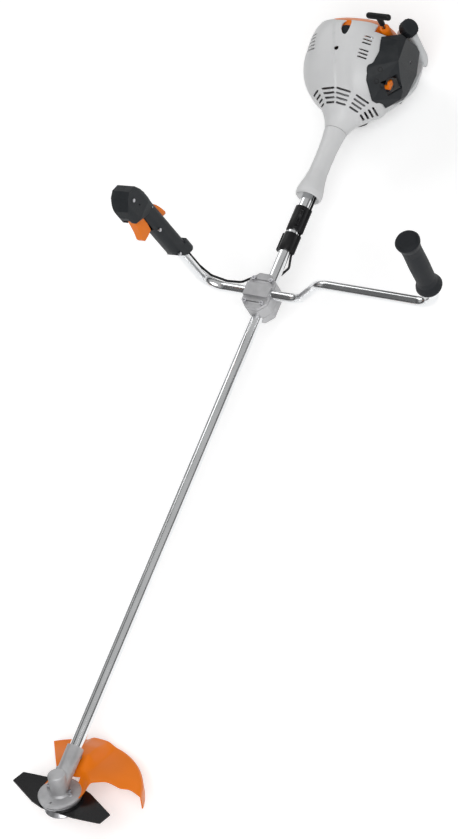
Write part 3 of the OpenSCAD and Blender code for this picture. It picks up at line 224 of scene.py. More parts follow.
def cast_alloy(name, colour, rough, depth=0.00025):
    """Die-cast housing: sandy skin with pits, and soft cloudy patches a little darker and lighter."""
    f = Finish(name, Metallic=0.55)
    sand = f.noise(1100.0, 4.0, roughness=0.65)
    cloud = f.noise(30.0, 4.0).step(0.3, 0.75)
    pits = f.cells(700.0)
    f.set("Base Color", f.mix(cloud, shade(colour, 0.82), shade(colour, 1.1)))
    f.set("Roughness", sand * 0.2 + cloud * 0.08 + (rough - 0.12))
    f.bump(sand + pits * 0.6, depth)
    return f.material


def machined_steel(name, colour, rough):
    """Turned or ground steel with fine tool marks and an oily film."""
    f = Finish(name, Metallic=1.0)
    marks = f.noise(1500.0, 3.0, (1.0, 1.0, 0.08))
    film = f.noise(45.0, 4.0).step(0.35, 0.7)
    f.set("Base Color", f.mix(film, shade(colour, 0.8), shade(colour, 1.05)))
    f.set("Roughness", marks * 0.15 + film * 0.1 + (rough - 0.1))
    f.bump(marks, 0.00005)
    return f.material


def lacquered_steel(name, colour, rough):
    """Painted sheet steel: orange peel and small chips down to bare metal."""
    f = Finish(name)
    f.set("Specular IOR Level", 0.3)
    peel = f.noise(420.0, 2.0)
    wear = f.noise(120.0, 6.0, roughness=0.75).step(0.74, 0.8)
    f.set("Base Color", f.mix(wear, colour, BARE_METAL))
    f.set("Metallic", wear * 0.9)
    f.set("Roughness", peel * 0.1 + wear * 0.15 + (rough - 0.05))
    f.bump(peel * 0.6 - wear * 0.8, 0.00005)
    return f.material


def rubber(name, colour, rough, grain=900.0, depth=0.0002):
    """Soft moulded rubber with a pebbled skin."""
    f = Finish(name)
    f.set("Specular IOR Level", 0.25)
    pebble = f.cells(grain)
    drift = f.noise(20.0, 3.0).step(0.3, 0.7)
    f.set("Base Color", f.mix(drift, shade(colour, 0.85), shade(colour, 1.2)))
    f.set("Roughness", pebble * 0.2 + drift * 0.06 + (rough - 0.1))
    f.bump(pebble, depth)
    return f.material


def braided_cord(name, colour):
    """Twisted strands round a cord; the colour follows their relief, with painted shade in the grooves and a
    painted highlight on the crests.
    """
    f = Finish(name, Roughness=0.75)
    strands = f.node("TexWave", {"wave_type": "BANDS", "bands_direction": "DIAGONAL"},
                     Vector=f.place(), Scale=260.0, Distortion=0.6)
    # Painted shade and highlight: darker where the strands' relief is low, lighter where it is high
    f.set("Base Color", f.mix(strands, shade(colour, 0.5), shade(colour, 1.3)))
    f.bump(strands, 0.0003)
    return f.material


PALE = (0.7, 0.705, 0.71, 1.0)
TANK = (0.66, 0.675, 0.685, 1.0)
ORANGE = (0.88, 0.2, 0.004, 1.0)
CHARCOAL = (0.016, 0.019, 0.022, 1.0)
GRIP = (0.011, 0.013, 0.016, 1.0)
BLACK = (0.006, 0.006, 0.007, 1.0)
ALUMINIUM = (0.83, 0.84, 0.85, 1.0)
CAST = (0.5, 0.5, 0.51, 1.0)
STEEL = (0.5, 0.5, 0.52, 1.0)
MACHINED = (0.7, 0.7, 0.72, 1.0)
# Near black, a painted shade: it darkens the carburettor so that the choke's opening looks dark inside
PAINTED_SHADE_CAST = (0.05, 0.05, 0.052, 1.0)
BLADE = (0.006, 0.006, 0.007, 1.0)
CORD = (0.05, 0.05, 0.05, 1.0)
PLUG = (0.8, 0.78, 0.72, 1.0)

finishes = {
    "pale_plastic": moulded_plastic("pale_shell", PALE, 0.36, 1600.0, 0.00005, dust=0.03, scuff=0.03),
    "orange_plastic": moulded_plastic("orange_shell", ORANGE, 0.36, 1200.0, 0.00006,
                                      scuff=0.02, gloss=0.3),
    "charcoal_plastic": moulded_plastic("charcoal_shell", CHARCOAL, 0.48, 1500.0, 0.0002,
                                        dust=0.03, scuff=0.02, gloss=0.25),
    "black_plastic": moulded_plastic("black_moulding", BLACK, 0.4, 1500.0, 0.0001,
                                     dust=0.02, scuff=0.02, gloss=0.25),
    "grip_rubber": rubber("grip_rubber", GRIP, 0.55),
    "cable_sheath": rubber("cable_sheath", BLACK, 0.42, 500.0, 0.00006),
    "drawn_aluminium": drawn_aluminium("drawn_tube", ALUMINIUM, 0.16),
    "cast_alloy": cast_alloy("cast_skin", CAST, 0.5),
    # The carburettor's painted shade: a near-black casting that stands for the dark inside the choke's
    # opening
    "painted_shade_casting": cast_alloy("painted_shade_casting", PAINTED_SHADE_CAST, 0.6),
    "machined_alloy": cast_alloy("machined_alloy", MACHINED, 0.38, 0.0001),
    "tank_plastic": moulded_plastic("tank_shell", TANK, 0.4, 1300.0, 0.00006, dust=0.05, scuff=0.03),
    "steel": machined_steel("bright_steel", STEEL, 0.3),
    "blade_paint": lacquered_steel("blade_lacquer", BLADE, 0.24),
    "rope": braided_cord("starter_cord", CORD),
    "plug_body": cast_alloy("plug_shell", PLUG, 0.3, 0.00005),
}

# Mould radii of CAD nodes, in millimetres
ROUNDED = {
    "filter_cover": 1.2, "clamp_base": 0.8, "clamp_middle": 0.8, "clamp_cap": 1.0, "gearhead_housing": 0.8,
    "throttle_trigger": 1.0, "lockout_lever": 1.0, "stop_slider": 0.6, "muffler": 0.8, "thrust_plate": 0.4,
    "rider_plate": 0.4, "blade": 0.3, "fuel_cap": 0.5, "cable_clip": 0.4, "harness_ring": 0.6,
}
CRISP = math.radians(34)     # an edge that bends more than this gets a radius


def round_edges():
    """Small mould radii on the crisp edges of CAD nodes."""
    for name, width in ROUNDED.items():
        node = frame["nodes"][name]
        weld = node.modifiers.new("weld", "WELD")
        weld.merge_threshold = 1e-6
        edge = node.modifiers.new("edge", "BEVEL")
        edge.width, edge.segments, edge.limit_method = width * MM, 2, "ANGLE"
        edge.angle_limit = CRISP
        edge.harden_normals = True


def dress_nodes():
    """Gives each CAD node the finish of its slot; the carburettor is painted near black, a painted shade for
    the dark inside of the choke's opening.
    """
    slots = {entry["node"]: entry["material_slot"] for entry in frame["record"]["subparts"]}
    for name, node in frame["nodes"].items():
        node.data.materials.clear()
        node.data.materials.append(finishes["painted_shade_casting" if name == "carburettor" else slots[name]])


# ---------------------------------------------------------------- mesh making
def with_normals_out(mesh, joined=0.0):
    """Turns a closed mesh's faces outward, after joining points that are closer than joined."""
    shape = bmesh.new()
    shape.from_mesh(mesh)
    if joined:
        bmesh.ops.remove_doubles(shape, verts=shape.verts, dist=joined)
    bmesh.ops.recalc_face_normals(shape, faces=shape.faces)
    shape.to_mesh(mesh)
    shape.free()


def add_piece(name, points, faces, finish, body="frame", stands_for=(), smooth_under=32.0, look=None):
    """A mesh piece with its finish, its body and the CAD nodes that it stands for."""
    mesh = bpy.data.meshes.new(name)
    mesh.from_pydata(points, [], faces)
    mesh.validate()
    with_normals_out(mesh, joined=1e-6)
    piece = bpy.data.objects.new(name, mesh)
    bpy.context.scene.collection.objects.link(piece)
    piece.data.materials.append(finishes[look or finish])
    piece["smooth_under"] = smooth_under
    if body:
        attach(piece, body)
    if stands_for:
        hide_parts(*stands_for)
    return piece


def apply_modifiers(piece):
    """Turns the piece's modifiers into its mesh and smooths it up to its edge angle."""
    seen = bpy.context.evaluated_depsgraph_get()
    mesh = bpy.data.meshes.new_from_object(piece.evaluated_get(seen))
    piece.modifiers.clear()
    piece.data = mesh
    mesh.shade_smooth()
    mesh.set_sharp_from_angle(angle=math.radians(piece["smooth_under"]))


# The share of its points that a piece keeps at least; a solver that leaves less has lost the body
LEAST_KEPT = 0.1


def cut(piece, cutters):
    """Cuts closed shapes, each given as points and faces, out of a piece."""
    points, faces = [], []
    for corners, sides in cutters:
        faces += [[len(points) + i for i in side] for side in sides]
        points += corners
    mesh = bpy.data.meshes.new("cutters")
    mesh.from_pydata(points, [], faces)
    with_normals_out(mesh)
    tool = bpy.data.objects.new("cutters", mesh)
    bpy.context.scene.collection.objects.link(tool)
    whole = piece.data
    for solver, crossing in (("EXACT", False), ("EXACT", True), ("FAST", False)):
        knife = piece.modifiers.new("cut", "BOOLEAN")
        knife.operation, knife.solver, knife.object = "DIFFERENCE", solver, tool
        knife.use_self = crossing
        apply_modifiers(piece)
        if len(piece.data.vertices) > LEAST_KEPT * len(whole.vertices):
            break
        piece.data = whole
    bpy.data.objects.remove(tool)


def prism(outline, place, low, high):
    """A prism over an outline of (x, y) points, from z = low to z = high, put in place by a function."""
    n = len(outline)
    corners = [place(x, y, z) for z in (low, high) for x, y in outline]
    sides = [[i, (i + 1) % n, n + (i + 1) % n, n + i] for i in range(n)]
    return corners, sides + [list(range(n))[::-1], list(range(n, 2 * n))]


def rounded_slot(long, wide, steps=6):
    """Outline of a slot with round ends, long in y."""
    r, reach = wide / 2, long / 2 - wide / 2
    turn = [math.pi * i / steps for i in range(steps + 1)]
    return ([(r * math.cos(a), reach + r * math.sin(a)) for a in turn]
            + [(-r * math.cos(a), -reach - r * math.sin(a)) for a in turn])


def circle(radius, sides=32):
    """Points of a circle about (0, 0)."""
    return [(radius * math.cos(2 * math.pi * i / sides), radius * math.sin(2 * math.pi * i / sides))
            for i in range(sides)]


def rectangle(x0, y0, x1, y1):
    """Corners of a rectangle between two opposite ones."""
    return [(x0, y0), (x1, y0), (x1, y1), (x0, y1)]


def from_side(x, y, z):
    """A point of an outline that is drawn along and up, at the depth z to the right."""
    return by_engine(x, z, y)


def band(rings, count):
    """Quads between closed rings of count points each."""
    faces = []
    for k in range(rings - 1):
        for i in range(count):
            j = (i + 1) % count
            faces.append([k * count + i, k * count + j, (k + 1) * count + j, (k + 1) * count + i])
    return faces


def capped(rings, count):
    """The same quads with a face on the first ring and one on the last."""
    last = [(rings - 1) * count + i for i in range(count)]
    return band(rings, count) + [list(range(count)), last[::-1]]


def frame_on(origin, axis):
    """A function that places points about an axis through origin; both as (u, v, w) by the engine."""
    z = Vector(axis).normalized()
    x = z.orthogonal().normalized()
    y = z.cross(x)
    return lambda a, b, c: by_engine(*(Vector(origin) + x * a + y * b + z * c))


def smooth_step(t):
    """0 below 0, 1 above 1, and smooth between them."""
    t = max(0.0, min(1.0, t))
    return t * t * (3 - 2 * t)


def blend_value(a, b, t):
    """Goes smoothly from a to b while t goes from 0 to 1."""
    return a + (b - a) * smooth_step(t)


def through(stations, u):
    """Values at u on a smooth curve through stations, each of which starts with its own u."""
    last = len(stations) - 1
    k = max(i for i in range(last) if stations[i][0] <= u or i == 0)
    a, b = stations[k], stations[k + 1]
    before, after = stations[max(k - 1, 0)], stations[min(k + 2, last)]
    span = b[0] - a[0]
    t = (u - a[0]) / span
    found = []
    for i in range(1, len(a)):
        ma = (b[i] - before[i]) / (b[0] - before[0]) * span
        mb = (after[i] - a[i]) / (after[0] - a[0]) * span
        found.append((2 * t**3 - 3 * t**2 + 1) * a[i] + (t**3 - 2 * t**2 + t) * ma
                     + (3 * t**2 - 2 * t**3) * b[i] + (t**3 - t**2) * mb)
    return found


FINE = 1440      # points from which a section's even spacing is found


def rounded_section(right, left, top, bottom, power, count):
    """Evenly spaced points round a section of a housing."""
    dense = []
    for i in range(FINE):
        c, s = math.cos(2 * math.pi * i / FINE), math.sin(2 * math.pi * i / FINE)
        dense.append((math.copysign(abs(c) ** (2 / power), c) * (right if c > 0 else left),
                      math.copysign(abs(s) ** (2 / power), s) * (top if s > 0 else bottom)))
    run = [0.0]
    for a, b in zip(dense, dense[1:] + dense[:1]):
        run.append(run[-1] + math.dist(a, b))
    points, k = [], 0
    for i in range(count):
        goal = run[-1] * i / count
        while run[k + 1] < goal:
            k += 1
        t = (goal - run[k]) / (run[k + 1] - run[k])
        a, b = dense[k], dense[(k + 1) % len(dense)]
        points.append((a[0] + (b[0] - a[0]) * t, a[1] + (b[1] - a[1]) * t))
    return points


def loft(stations, steps, count, reshape=None, wall=0.0):
    """Points and faces of a closed body through sections [u, right, left, top, bottom, power]."""
    first, last = stations[0][0], stations[-1][0]
    points = []
    for k in range(steps + 1):
        u = first + (last - first) * k / steps
        right, left, top, bottom, power = through(stations, u)
        for v, w in rounded_section(right - wall, left - wall, top - wall, bottom - wall, power, count):
            points.append(by_engine(*(reshape(u, v, w) if reshape else (u, v, w))))
    return points, capped(steps + 1, count)


def hollow_loft(stations, steps, count, reshape, wall):
    """Points and faces of a tube of even wall through sections, open at both ends."""
    outer = loft(stations, steps, count, reshape)[0]
    inner = loft(stations, steps, count, reshape, wall)[0]
    faces = band(steps + 1, count)
    m = len(outer)
    faces += [[m + i for i in reversed(face)] for face in faces]
    for low in (0, steps * count):
        for i in range(low, low + count):
            j = low + (i - low + 1) % count
            faces.append([i, j, m + j, m + i])
    return outer + inner, faces


# ---------------------------------------------------------------- shroud of the engine
CONE_U = -132.0
SHROUD_WALL = 2.4
PLUG_SEAT = (12.0, 2.0, 80.0)
PLUG_AXIS = (0.88, 0.2, 0.43)
BOOT_R = 11
ACCESS_HOLE = (9, 17)
ACCESS_R = 5
HORN_NOTCH = (60, -120, 100, -52)    # two corners of the opening for the starter's horn
TANK_HIGH = -46.4    # height of the tank's flat top
FAR = 200.0          # well past the engine's sides
SHROUD = [
    [CONE_U, 24.5, 24.5, 24.5, 24.5, 2], [CONE_U + 18, 31, 31, 31, 30, 2],
    [CONE_U + 36, 42, 42, 42, 38, 2.1], [CONE_U + 52, 56, 64, 55, 44, 2.2],
    [CONE_U + 66, 76, 86, 70, 48, 2.4], [-50, 94, 93, 84, 50, 2.6], [-32, 105, 102, 94, 50, 2.8],
    [-8, 111, 107, 103, 50, 3], [18, 112, 108, 108, 50, 3.1], [48, 112, 108, 110, 50, 3.2],
    [68, 111, 106, 109, 50, 3.1], [80, 108, 103, 107, 50, 3],
]
# The channel on top lies between its crease and its soft side, both as (u, v)
CREASE = [(-90, -6), (-63, 3), (-28, 11), (6, 23), (49, 39), (80, 50)]
SOFT_SIDE = [(-90, -40), (-51, -31), (-19, -24), (17, -11), (52, 2), (80, 12)]
CHANNEL_DEPTH = 2.6
CHANNEL_START = -82
SEAT_SHARE = 0.03    # how far the cover's seat is drawn in, as a share of the shroud's size
# Outline of the filter cover on the shroud, as (u, w), and the share of it that is open behind
COVER_RIM = [
    (-14, -27), (48, -24), (91, 0), (91, 22), (72, 84), (50, 99), (-21, 90), (-43, 75), (-69, 42), (-58, 1)
]
WINDOW_SHARE = 0.88


def line_at(line, u):
    """The v of a broken line at u."""
    for (a, va), (b, vb) in zip(line, line[1:]):
        if u <= b:
            return va + (vb - va) * (u - a) / (b - a)
    return line[-1][1]


def press_channel(u, v, w):
    """Presses the seat of the filter cover, and the shallow channel with its crease, into the shroud."""
    seat = smooth_step((-v - 34) / 22) * smooth_step((u + 92) / 16) * smooth_step((100 - abs(w - 20)) / 20)
    v, w = v * (1 - SEAT_SHARE * seat), w * (1 - SEAT_SHARE * seat)
    if w < 20 or u < CHANNEL_START:
        return u, v, w
    crease, side = line_at(CREASE, u), line_at(SOFT_SIDE, u)
    inside = smooth_step((crease - v) / 3.5) * smooth_step((v - side + 6) / 16)
    return u, v, w - CHANNEL_DEPTH * inside * smooth_step((u - CHANNEL_START) / 22)


# The cone's slots: the first one's place, the slope of the cone's wall, and the groups' turns from
# straight up toward the left
CONE_VENT_U = -92
CONE_VENT_R = 46.5
CONE_LEAN = math.radians(-47)
CONE_VENT_TURNS = (-54, -17.5, 14, 51, 87)


def cone_vents(turn):
    """A group of four slots on the cone, each longer than the one before."""
    def place(x, y, z):
        u = CONE_VENT_U + x * math.cos(CONE_LEAN) + z * math.sin(CONE_LEAN)
        r = CONE_VENT_R - x * math.sin(CONE_LEAN) + z * math.cos(CONE_LEAN)
        v = y * math.cos(turn) - r * math.sin(turn)
        return by_engine(u, v, y * math.sin(turn) + r * math.cos(turn))
    outlines = [[(x + 2.5 + 10 * i, y) for x, y in rounded_slot(23 + 3.6 * i, 4.6)] for i in range(4)]
    return [prism(outline, place, -8, 40) for outline in outlines]


def top_vents():
    """Six slots beside the filter cover, and two rows of five over the muffler."""
    slots = []
    for u in (-4, 4, 12, 28, 36, 44):
        outline = [(x + u, y - 46) for x, y in rounded_slot(20, 3.8)]
        slots.append(prism(outline, by_engine, 62, 130))
    for low in (50, 78):
        for i in range(5):
            u = 6 + i * 9
            slots.append(prism(rectangle(u - 2, low, u + 2, low + 19), from_side, 66, 140))
    return slots


def add_shroud():
    """The shroud of even wall, open in front, behind and over the tank, with its holes and slots."""
    points, faces = hollow_loft(SHROUD, 84, 176, press_channel, SHROUD_WALL)
    piece = add_piece("shroud_shell", points, faces, "pale_plastic", stands_for=("shroud",),
                      smooth_under=26.0)
    below = prism(rectangle(-84, -FAR, FAR, FAR), by_engine, TANK_HIGH - 150, TANK_HIGH + 0.3)
    count = len(COVER_RIM)
    middle = (sum(u for u, w in COVER_RIM) / count, sum(w for u, w in COVER_RIM) / count)
    rim = [(middle[0] + (u - middle[0]) * WINDOW_SHARE, middle[1] + (w - middle[1]) * WINDOW_SHARE)
           for u, w in COVER_RIM]
    window = prism(rim, from_side, -150, -68)
    horn_notch = prism(rectangle(*HORN_NOTCH), by_engine, 40, 130)
    outline = [(ACCESS_HOLE[0] + x, ACCESS_HOLE[1] + y) for x, y in circle(ACCESS_R)]
    hole = prism(outline, by_engine, 70, 130)
    boot_notch = prism(circle(BOOT_R, 40), frame_on(PLUG_SEAT, PLUG_AXIS), 20, 100)
    for cutter in (below, window, horn_notch, hole, boot_notch):
        cut(piece, [cutter])
    for degrees in CONE_VENT_TURNS:
        cut(piece, cone_vents(math.radians(degrees)))
    cut(piece, top_vents())


# ---------------------------------------------------------------- details of the filter cover
def lathe(name, profile, origin, axis, finish, sides=40):
    """A turned piece from a profile of (radius, height) about an axis through origin."""
    place = frame_on(origin, axis)
    points = [place(x, y, h) for r, h in profile for x, y in circle(r, sides)]
    piece = add_piece(name, points, capped(len(profile), sides), finish, smooth_under=40.0)
    apply_modifiers(piece)
    return piece


# The dimples lie where the cover's front comes nearest to these places
DIMPLES = [(-21, -92, 88), (-47, -92, 78), (-45, -98, 62)]
DIMPLE = [(5.4, -1.0), (5.4, 0.25), (5.0, 0.5), (4.5, 0.5), (4.1, 0.2), (3.6, -0.4), (0.4, -0.5)]
COVER_SCREW = (44.0, -115.6, 27.0)
SCREW_HEAD = [(2.6, -6), (2.6, -0.6), (5.2, -0.6), (5.2, 1.2), (4.6, 1.9), (0.5, 2.1)]
TO_LEFT = (0, -1, 0)


def add_cover_details():
    """Three ringed dimples on the cover's front, their black cups a painted shade for the dark of the holes,
    and the hex screw that holds it.
    """
    cover = frame["nodes"]["filter_cover"]
    for i, spot in enumerate(DIMPLES):
        _, near, normal, _ = cover.closest_point_on_mesh(by_engine(*spot))
        origin = (near.x / MM, near.y / MM, near.z / MM - SHAFT_H)
        # The dimples' black is painted shade: shallow black cups stand in for the dark inside the holes
        lathe("cover_dimple_%d" % (i + 1), DIMPLE, origin, normal, "black_plastic")
    screw = lathe("cover_screw", SCREW_HEAD, COVER_SCREW, TO_LEFT, "steel")
    cut(screw, [prism(circle(2.3, 6), frame_on(COVER_SCREW, TO_LEFT), 0.6, 4)])


# ---------------------------------------------------------------- fuel tank
TANK_BODY = [
    [-62, 40, 34, 30, 56, 2.2], [-52, 66, 52, 30, 70, 2.2], [-34, 88, 78, 30, 84, 2.2],
    [-14, 98, 96, 30, 92, 2.2], [8, 102, 106, 30, 101, 2.3], [30, 102, 110, 30, 107, 2.6],
    [50, 102, 112, 30, 109.6, 2.9], [86, 98, 111, 30, 106, 3], [104, 90, 106, 30, 98, 3],
    [113, 78, 96, 30, 88, 2.8],
]
SEAM_W = -78.0
FILLER = (104.5, -98.0)
FILLER_HALF = (11.0, 15.0)
# Rings of the filler column: height, and share of its full size
FILLER_RINGS = [
    (-70, 0.4), (-56, 0.8), (-40, 1.0), (-10, 1.0), (20, 1.0), (34, 1.0), (38, 0.97), (40.6, 0.9),
    (41.8, 0.78),
]
NECK_BASE = (102, -85, 46)
NECK_R = 11
CAP_AXIS = (0.1, -0.72, 0.68)


def swell_seam(u, v, w):
    """A low welding rib round the tank at its seam."""
    rib = math.exp(-((w - SEAM_W) / 2.2) ** 2)
    return u, v * (1 + 0.012 * rib), w


def rounded_square(a):
    """A point at the angle a round a square with large round corners, of half size 1."""
    return tuple(math.copysign(abs(c) ** 0.6, c) for c in (math.cos(a), math.sin(a)))


def add_tank_part(name, points, faces, stands_for=()):
    """A piece of the tank; its slot is the shroud's, and its look is the tank's own."""
    return add_piece(name, points, faces, "pale_plastic", stands_for=stands_for, smooth_under=40.0,
                     look="tank_plastic")


def add_tank():
    """The tank's body, cut flat under the shroud, its filler column and the neck under the cap."""
    points, faces = loft(TANK_BODY, 60, 160, swell_seam)
    body = add_tank_part("tank_shell", points, faces, ("fuel_tank",))
    cut(body, [prism(rectangle(-140, -FAR, FAR, FAR), by_engine, TANK_HIGH, 90)])
    sides = 40
    points = []
    for w, share in FILLER_RINGS:
        for i in range(sides):
            x, y = rounded_square(2 * math.pi * i / sides)
            points.append(by_engine(FILLER[0] + x * share * FILLER_HALF[0],
                                    FILLER[1] + y * FILLER_HALF[1] * share - (1 - share) * 2, w))
    column = add_tank_part("tank_filler", points, capped(len(FILLER_RINGS), sides))
    column.data.shade_smooth()
    neck = add_tank_part("tank_neck", *prism(circle(NECK_R, 48), frame_on(NECK_BASE, CAP_AXIS), -6, 23))
    edge = neck.modifiers.new("edge", "BEVEL")
    edge.width, edge.segments, edge.limit_method = 0.8 * MM, 2, "ANGLE"
    apply_modifiers(neck)


# ---------------------------------------------------------------- foot
# Its outline, drawn in at the front left corner, and its rings: height, and share of the outline
FOOT = [
    (-40, 14), (-34, 4), (-14, -4), (6, -18), (22, -40), (32, -56), (40, -58), (42, -50), (42, 54), (36, 60),
    (-36, 60), (-42, 54), (-42, 20)
]
FOOT_MIDDLE = (2, 10)
FOOT_RINGS = [
    (-118, 0.96), (-116.5, 1.0), (-115, 1.0), (-114.4, 0.97), (-113.4, 0.97), (-112.8, 1.0), (-110.8, 1.0),
    (-110.3, 0.98)
]


def add_foot():
    """The foot under the tank, with a groove round it."""
    x, y = FOOT_MIDDLE
    points = [by_engine(x + (u - x) * share, y + (v - y) * share, w)
              for w, share in FOOT_RINGS for u, v in FOOT]
    add_piece("foot_pad", points, capped(len(FOOT_RINGS), len(FOOT)), "black_plastic",
              stands_for=("engine_foot",))


# ---------------------------------------------------------------- deflector
PLATE_INNER = 20.7   # inner radius of the plate, round the gear barrel
SOCKET_R = 16.8
SOCKET_END = 47.0
SCREW_ARM = 24.0     # how far each screw is from the shaft's line
SCREW_HOLE_R = 2.3
SKIRT_R = 159.0
SKIRT_WALL = 2.6
SKIRT_LOW = -(SHAFT_H - SKIRT_R * math.sin(HEAD_TILT)) / math.cos(HEAD_TILT)
RIM_Z = -12.0
BEND_R = 7.0
BOSS_HIGH = -16.0
SKIRT_RIGHT, SKIRT_LEFT = 37.0, 72.0


def guard_height(r):
    """Height of the plate at radius r, before the hump."""
    if r < 60:
        return blend_value(BOSS_HIGH + SKIRT_WALL + 0.1, 2, (r - 40) / 20)
    return blend_value(2, RIM_Z, (r - 60) / (SKIRT_R - 60))


def guard_left(r):
    """The plate's left end at radius r, in degrees from straight back."""
    if r < 85:
        return -blend_value(100, 57, (r - 34) / 30)
    if r < 120:
        return -blend_value(57, 66, (r - 85) / 35)
    return -blend_value(66, SKIRT_LEFT, (r - 130) / 28)


def guard_hump(x, y):
    """The hump that runs back under the shaft."""
    return (min(17.0, max(0.0, 0.45 * (x - 48))) * smooth_step((36 - abs(y)) / 22)
            * blend_value(1, 0.55, (x - 110) / 48))


def guard_rows():
    """Rows of the outer surface from the barrel out over the rim and down the skirt:
    radius, height, and the normal's share outward and up."""
    reach = SKIRT_R - BEND_R - PLATE_INNER
    radii = [PLATE_INNER + reach * i / 56 for i in range(56)]
    rows = [(r, guard_height(r), 0.0, 1.0) for r in radii]
    for i in range(9):
        a = math.pi / 2 * (1 - i / 8)
        out, up = math.cos(a), math.sin(a)
        rows.append((SKIRT_R - BEND_R + BEND_R * out, RIM_Z - BEND_R + BEND_R * up, out, up))
    for t in (0.2, 0.4, 0.6, 0.8, 1.0):
        rows.append((SKIRT_R, RIM_Z - BEND_R + (SKIRT_LOW - RIM_Z + BEND_R) * t, 1.0, 0.0))
    return rows


def add_deflector():
    """The deflector of even wall, cut out for the gear housing's sleeve and two screws."""
    rows = guard_rows()
    cols = 110
    outer, inner = [], []
    for r, z, nr, nz in rows:
        left, right = guard_left(r), blend_value(100, SKIRT_RIGHT, (r - 35) / 17)
        for i in range(cols + 1):
            a = math.radians(left + (right - left) * i / cols)
            x, y = r * math.cos(a), r * math.sin(a)
            lift = guard_hump(x, y) * max(0.0, nz)
            outer.append(on_head(x, y, z + lift))
            thin = r - SKIRT_WALL * nr
            inner.append(on_head(thin * math.cos(a), thin * math.sin(a), z - SKIRT_WALL * nz + lift))
    w, m = cols + 1, len(rows) * (cols + 1)
    faces = []
    for k in range(len(rows) - 1):
        for i in range(cols):
            quad = [k * w + i, k * w + i + 1, (k + 1) * w + i + 1, (k + 1) * w + i]
            faces += [quad, [m + q for q in reversed(quad)]]
        for i in (0, cols):
            faces.append([k * w + i, (k + 1) * w + i, m + (k + 1) * w + i, m + k * w + i])
    for k in (0, len(rows) - 1):
        faces += [[k * w + i, k * w + i + 1, m + k * w + i + 1, m + k * w + i] for i in range(cols)]
    piece = add_piece("deflector_guard", outer + inner, faces, "orange_plastic",
                      stands_for=("deflector",), smooth_under=38.0)
    half = SOCKET_R + 1.2
    slot = prism(rectangle(-1, -half, SOCKET_END, half), on_head, -30, 30)
    holes = [prism([(x, y + arm) for x, y in circle(SCREW_HOLE_R, 20)], on_head, -30, 30)
             for arm in (-SCREW_ARM, SCREW_ARM)]
    cut(piece, [slot] + holes)


# ---------------------------------------------------------------- starter housing
STARTER = [
    [66, 99, 68, 99, 40, 3], [79, 101, 69, 100, 41, 3], [81.5, 107, 71, 101, 43, 3],
    [88, 107, 71, 97, 43, 2.9], [98, 105, 70, 87, 43, 2.8], [108, 97, 66, 75, 39, 2.6],
    [115, 83, 57, 61, 32, 2.4], [118, 66, 46, 50, 24, 2.2],
]
STARTER_WALL = 2.4
FAN_W = 14.0         # height of the middle of the ring of air slots
GUIDE = (76.0, -67.0, 98.0)    # where the rope leaves the starter housing
HORN_R = 11.5
# The horn that leads the rope out: radius and height from its foot over its lip into its throat
HORN = [
    (HORN_R, 52), (HORN_R, 90), (HORN_R - 0.6, 96), (HORN_R - 2.4, 98), (5.0, 98.4), (3.6, 96), (3.4, 88)
]


def starter_slot(turn):
    """One air slot, turned about the fan's middle."""
    def place(x, y, z):
        return by_engine(x, y * math.cos(turn) - z * math.sin(turn),
                         FAN_W + y * math.sin(turn) + z * math.cos(turn))
    return prism(rectangle(102, -2, 130, 2), place, 20, 40)


def add_starter():
    """The orange starter housing, which falls away to the rear, with the horn that leads the rope out."""
    points, faces = loft(STARTER, 78, 128)
    piece = add_piece("starter_shell", points, faces, "orange_plastic", stands_for=("starter_housing",))
    hollow = [[s[0] - (4 if i == 0 else STARTER_WALL)] + s[1:] for i, s in enumerate(STARTER)]
    cut(piece, [loft(hollow, 40, 96, None, STARTER_WALL)])
    cut(piece, [starter_slot(math.radians(degrees)) for degrees in range(0, 360, 30)])
    sides = 48
    points = [by_engine(GUIDE[0] + x, GUIDE[1] + y, w) for r, w in HORN for x, y in circle(r, sides)]
    horn = add_piece("rope_horn", points, band(len(HORN), sides), "orange_plastic", smooth_under=40.0)
    apply_modifiers(horn)


# ---------------------------------------------------------------- starter rope
ROPE_R = 1.6
ROPE_BELOW = 8.0     # how far the strand reaches down into the horn
ROPE_LENGTH = 25.0
ROPE_STEPS = 24
ROPE_STRETCHED = 14.0    # ROPE_STRETCHED = 14.0 # the part of the strand above the guide


def add_rope():
    """The rope from the starter's guide up into the T grip."""
    u, v, w = GUIDE
    sides = 14
    points = []
    for k in range(ROPE_STEPS + 1):
        height = w - ROPE_BELOW + ROPE_LENGTH * k / ROPE_STEPS
        points += [by_engine(u + x, v + y, height) for x, y in circle(ROPE_R, sides)]
    piece = add_piece("rope_strand", points, capped(ROPE_STEPS + 1, sides), "rope", None,
                      ("starter_rope",), 60.0)
    apply_modifiers(piece)
    tuple(by_engine(u, v, w))
    tuple(by_engine(u, v, w + ROPE_STRETCHED))
    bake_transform(piece)


# ---------------------------------------------------------------- studio
# Each lamp's place, the spot that it faces, its size and its power
LAMPS = {
    "key": ((-2.6, -1.6, 3.4), (-0.8, 0.0, 0.1), (2.6, 2.6), 88.0),
    "fill": ((1.6, 2.4, 2.6), (-0.6, 0.0, 0.1), (2.4, 2.4), 32.0),
}


def area_lamp(name, place, target, size, power):
    """A white lamp with a rectangular face."""
    data = bpy.data.lights.new(name, "AREA")
    data.shape = "RECTANGLE"
    data.size, data.size_y = size
    data.energy = power
    lamp = bpy.data.objects.new(name, data)
    bpy.context.scene.collection.objects.link(lamp)
    lamp.location = place
    lamp.rotation_euler = (Vector(target) - Vector(place)).to_track_quat("-Z", "Y").to_euler()


def shown_white(tree, amount):
    """Strength that adds white only where the camera, a mirror or glass looks."""
    rays = tree.nodes.new("ShaderNodeLightPath")
    seen = Value(tree, rays.outputs["Is Camera Ray"])
    for name in ("Is Glossy Ray", "Is Transmission Ray"):
        seen = seen.math("MAXIMUM", Value(tree, rays.outputs[name]))
    return seen * amount


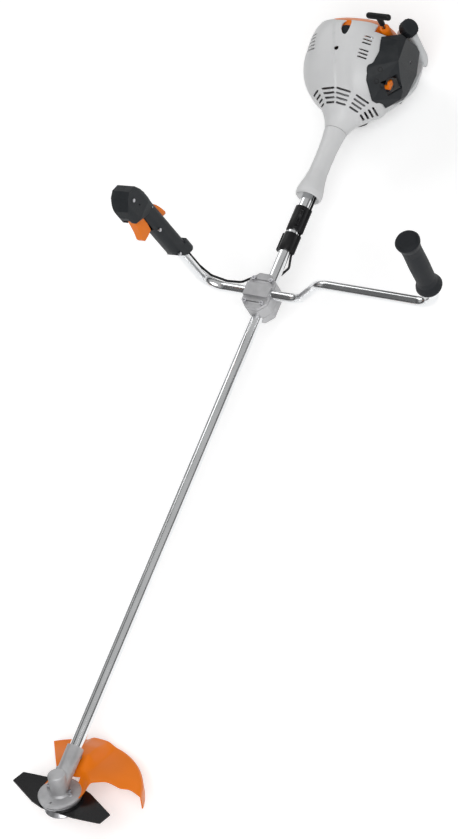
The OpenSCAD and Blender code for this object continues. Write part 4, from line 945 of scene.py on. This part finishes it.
WHITE = (1.0, 1.0, 1.0, 1.0)
FLOOR_HALF = 9.0
FLOOR_GREY = 0.9
FLOOR_LIFT = 0.34    # white that the floor adds where it is looked at
SKY = 0.5


def add_floor():
    """A pale floor under the tool."""
    h = FLOOR_HALF
    mesh = bpy.data.meshes.new("floor")
    mesh.from_pydata([(-h, -h, 0), (h, -h, 0), (h, h, 0), (-h, h, 0)], [], [(0, 1, 2, 3)])
    floor = bpy.data.objects.new("floor", mesh)
    bpy.context.scene.collection.objects.link(floor)
    f = Finish("studio_floor", Base_Color=(FLOOR_GREY, FLOOR_GREY, FLOOR_GREY, 1.0), Roughness=0.9,
               Emission_Color=WHITE)
    f.set("Specular IOR Level", 0.0)
    f.tree.links.new(shown_white(f.tree, FLOOR_LIFT).socket, f.shader.inputs["Emission Strength"])
    floor.data.materials.append(f.material)


def add_sky():
    """A soft sky, white to the camera. A dark screen stands low round the studio, and one over its
    right side, and they draw the dark streaks on the tubes."""
    world = bpy.data.worlds.new("studio")
    bpy.context.scene.world = world
    world.use_nodes = True
    tree = world.node_tree
    looking = tree.nodes.new("ShaderNodeTexCoord")
    parts = tree.nodes.new("ShaderNodeSeparateXYZ")
    tree.links.new(looking.outputs["Generated"], parts.inputs[0])
    height = Value(tree, parts.outputs["Z"])
    across = Value(tree, parts.outputs["Y"])
    screen = height.step(0.02, 0.1) * (1 - height.step(0.3, 0.42))
    flag = across.step(0.3, 0.4) * (1 - across.step(0.6, 0.72)) * height.step(0.3, 0.42)
    level = SKY - 0.44 * screen - 0.4 * flag
    rays = tree.nodes.new("ShaderNodeLightPath")
    seen = Value(tree, rays.outputs["Is Camera Ray"])
    level = level * (1 - seen) + seen
    background = tree.nodes["Background"]
    tree.links.new(level.socket, background.inputs["Strength"])
    background.inputs["Color"].default_value = WHITE


def add_studio():
    """Floor, sky and lamps, with colours shown as they are."""
    bpy.context.scene.view_settings.view_transform = "Standard"
    add_floor()
    add_sky()
    for name, lamp in LAMPS.items():
        area_lamp(name, *lamp)


add_camera()
dress_nodes()
round_edges()
add_shroud()
add_cover_details()
add_tank()
add_foot()
add_starter()
add_deflector()
add_rope()
add_studio()
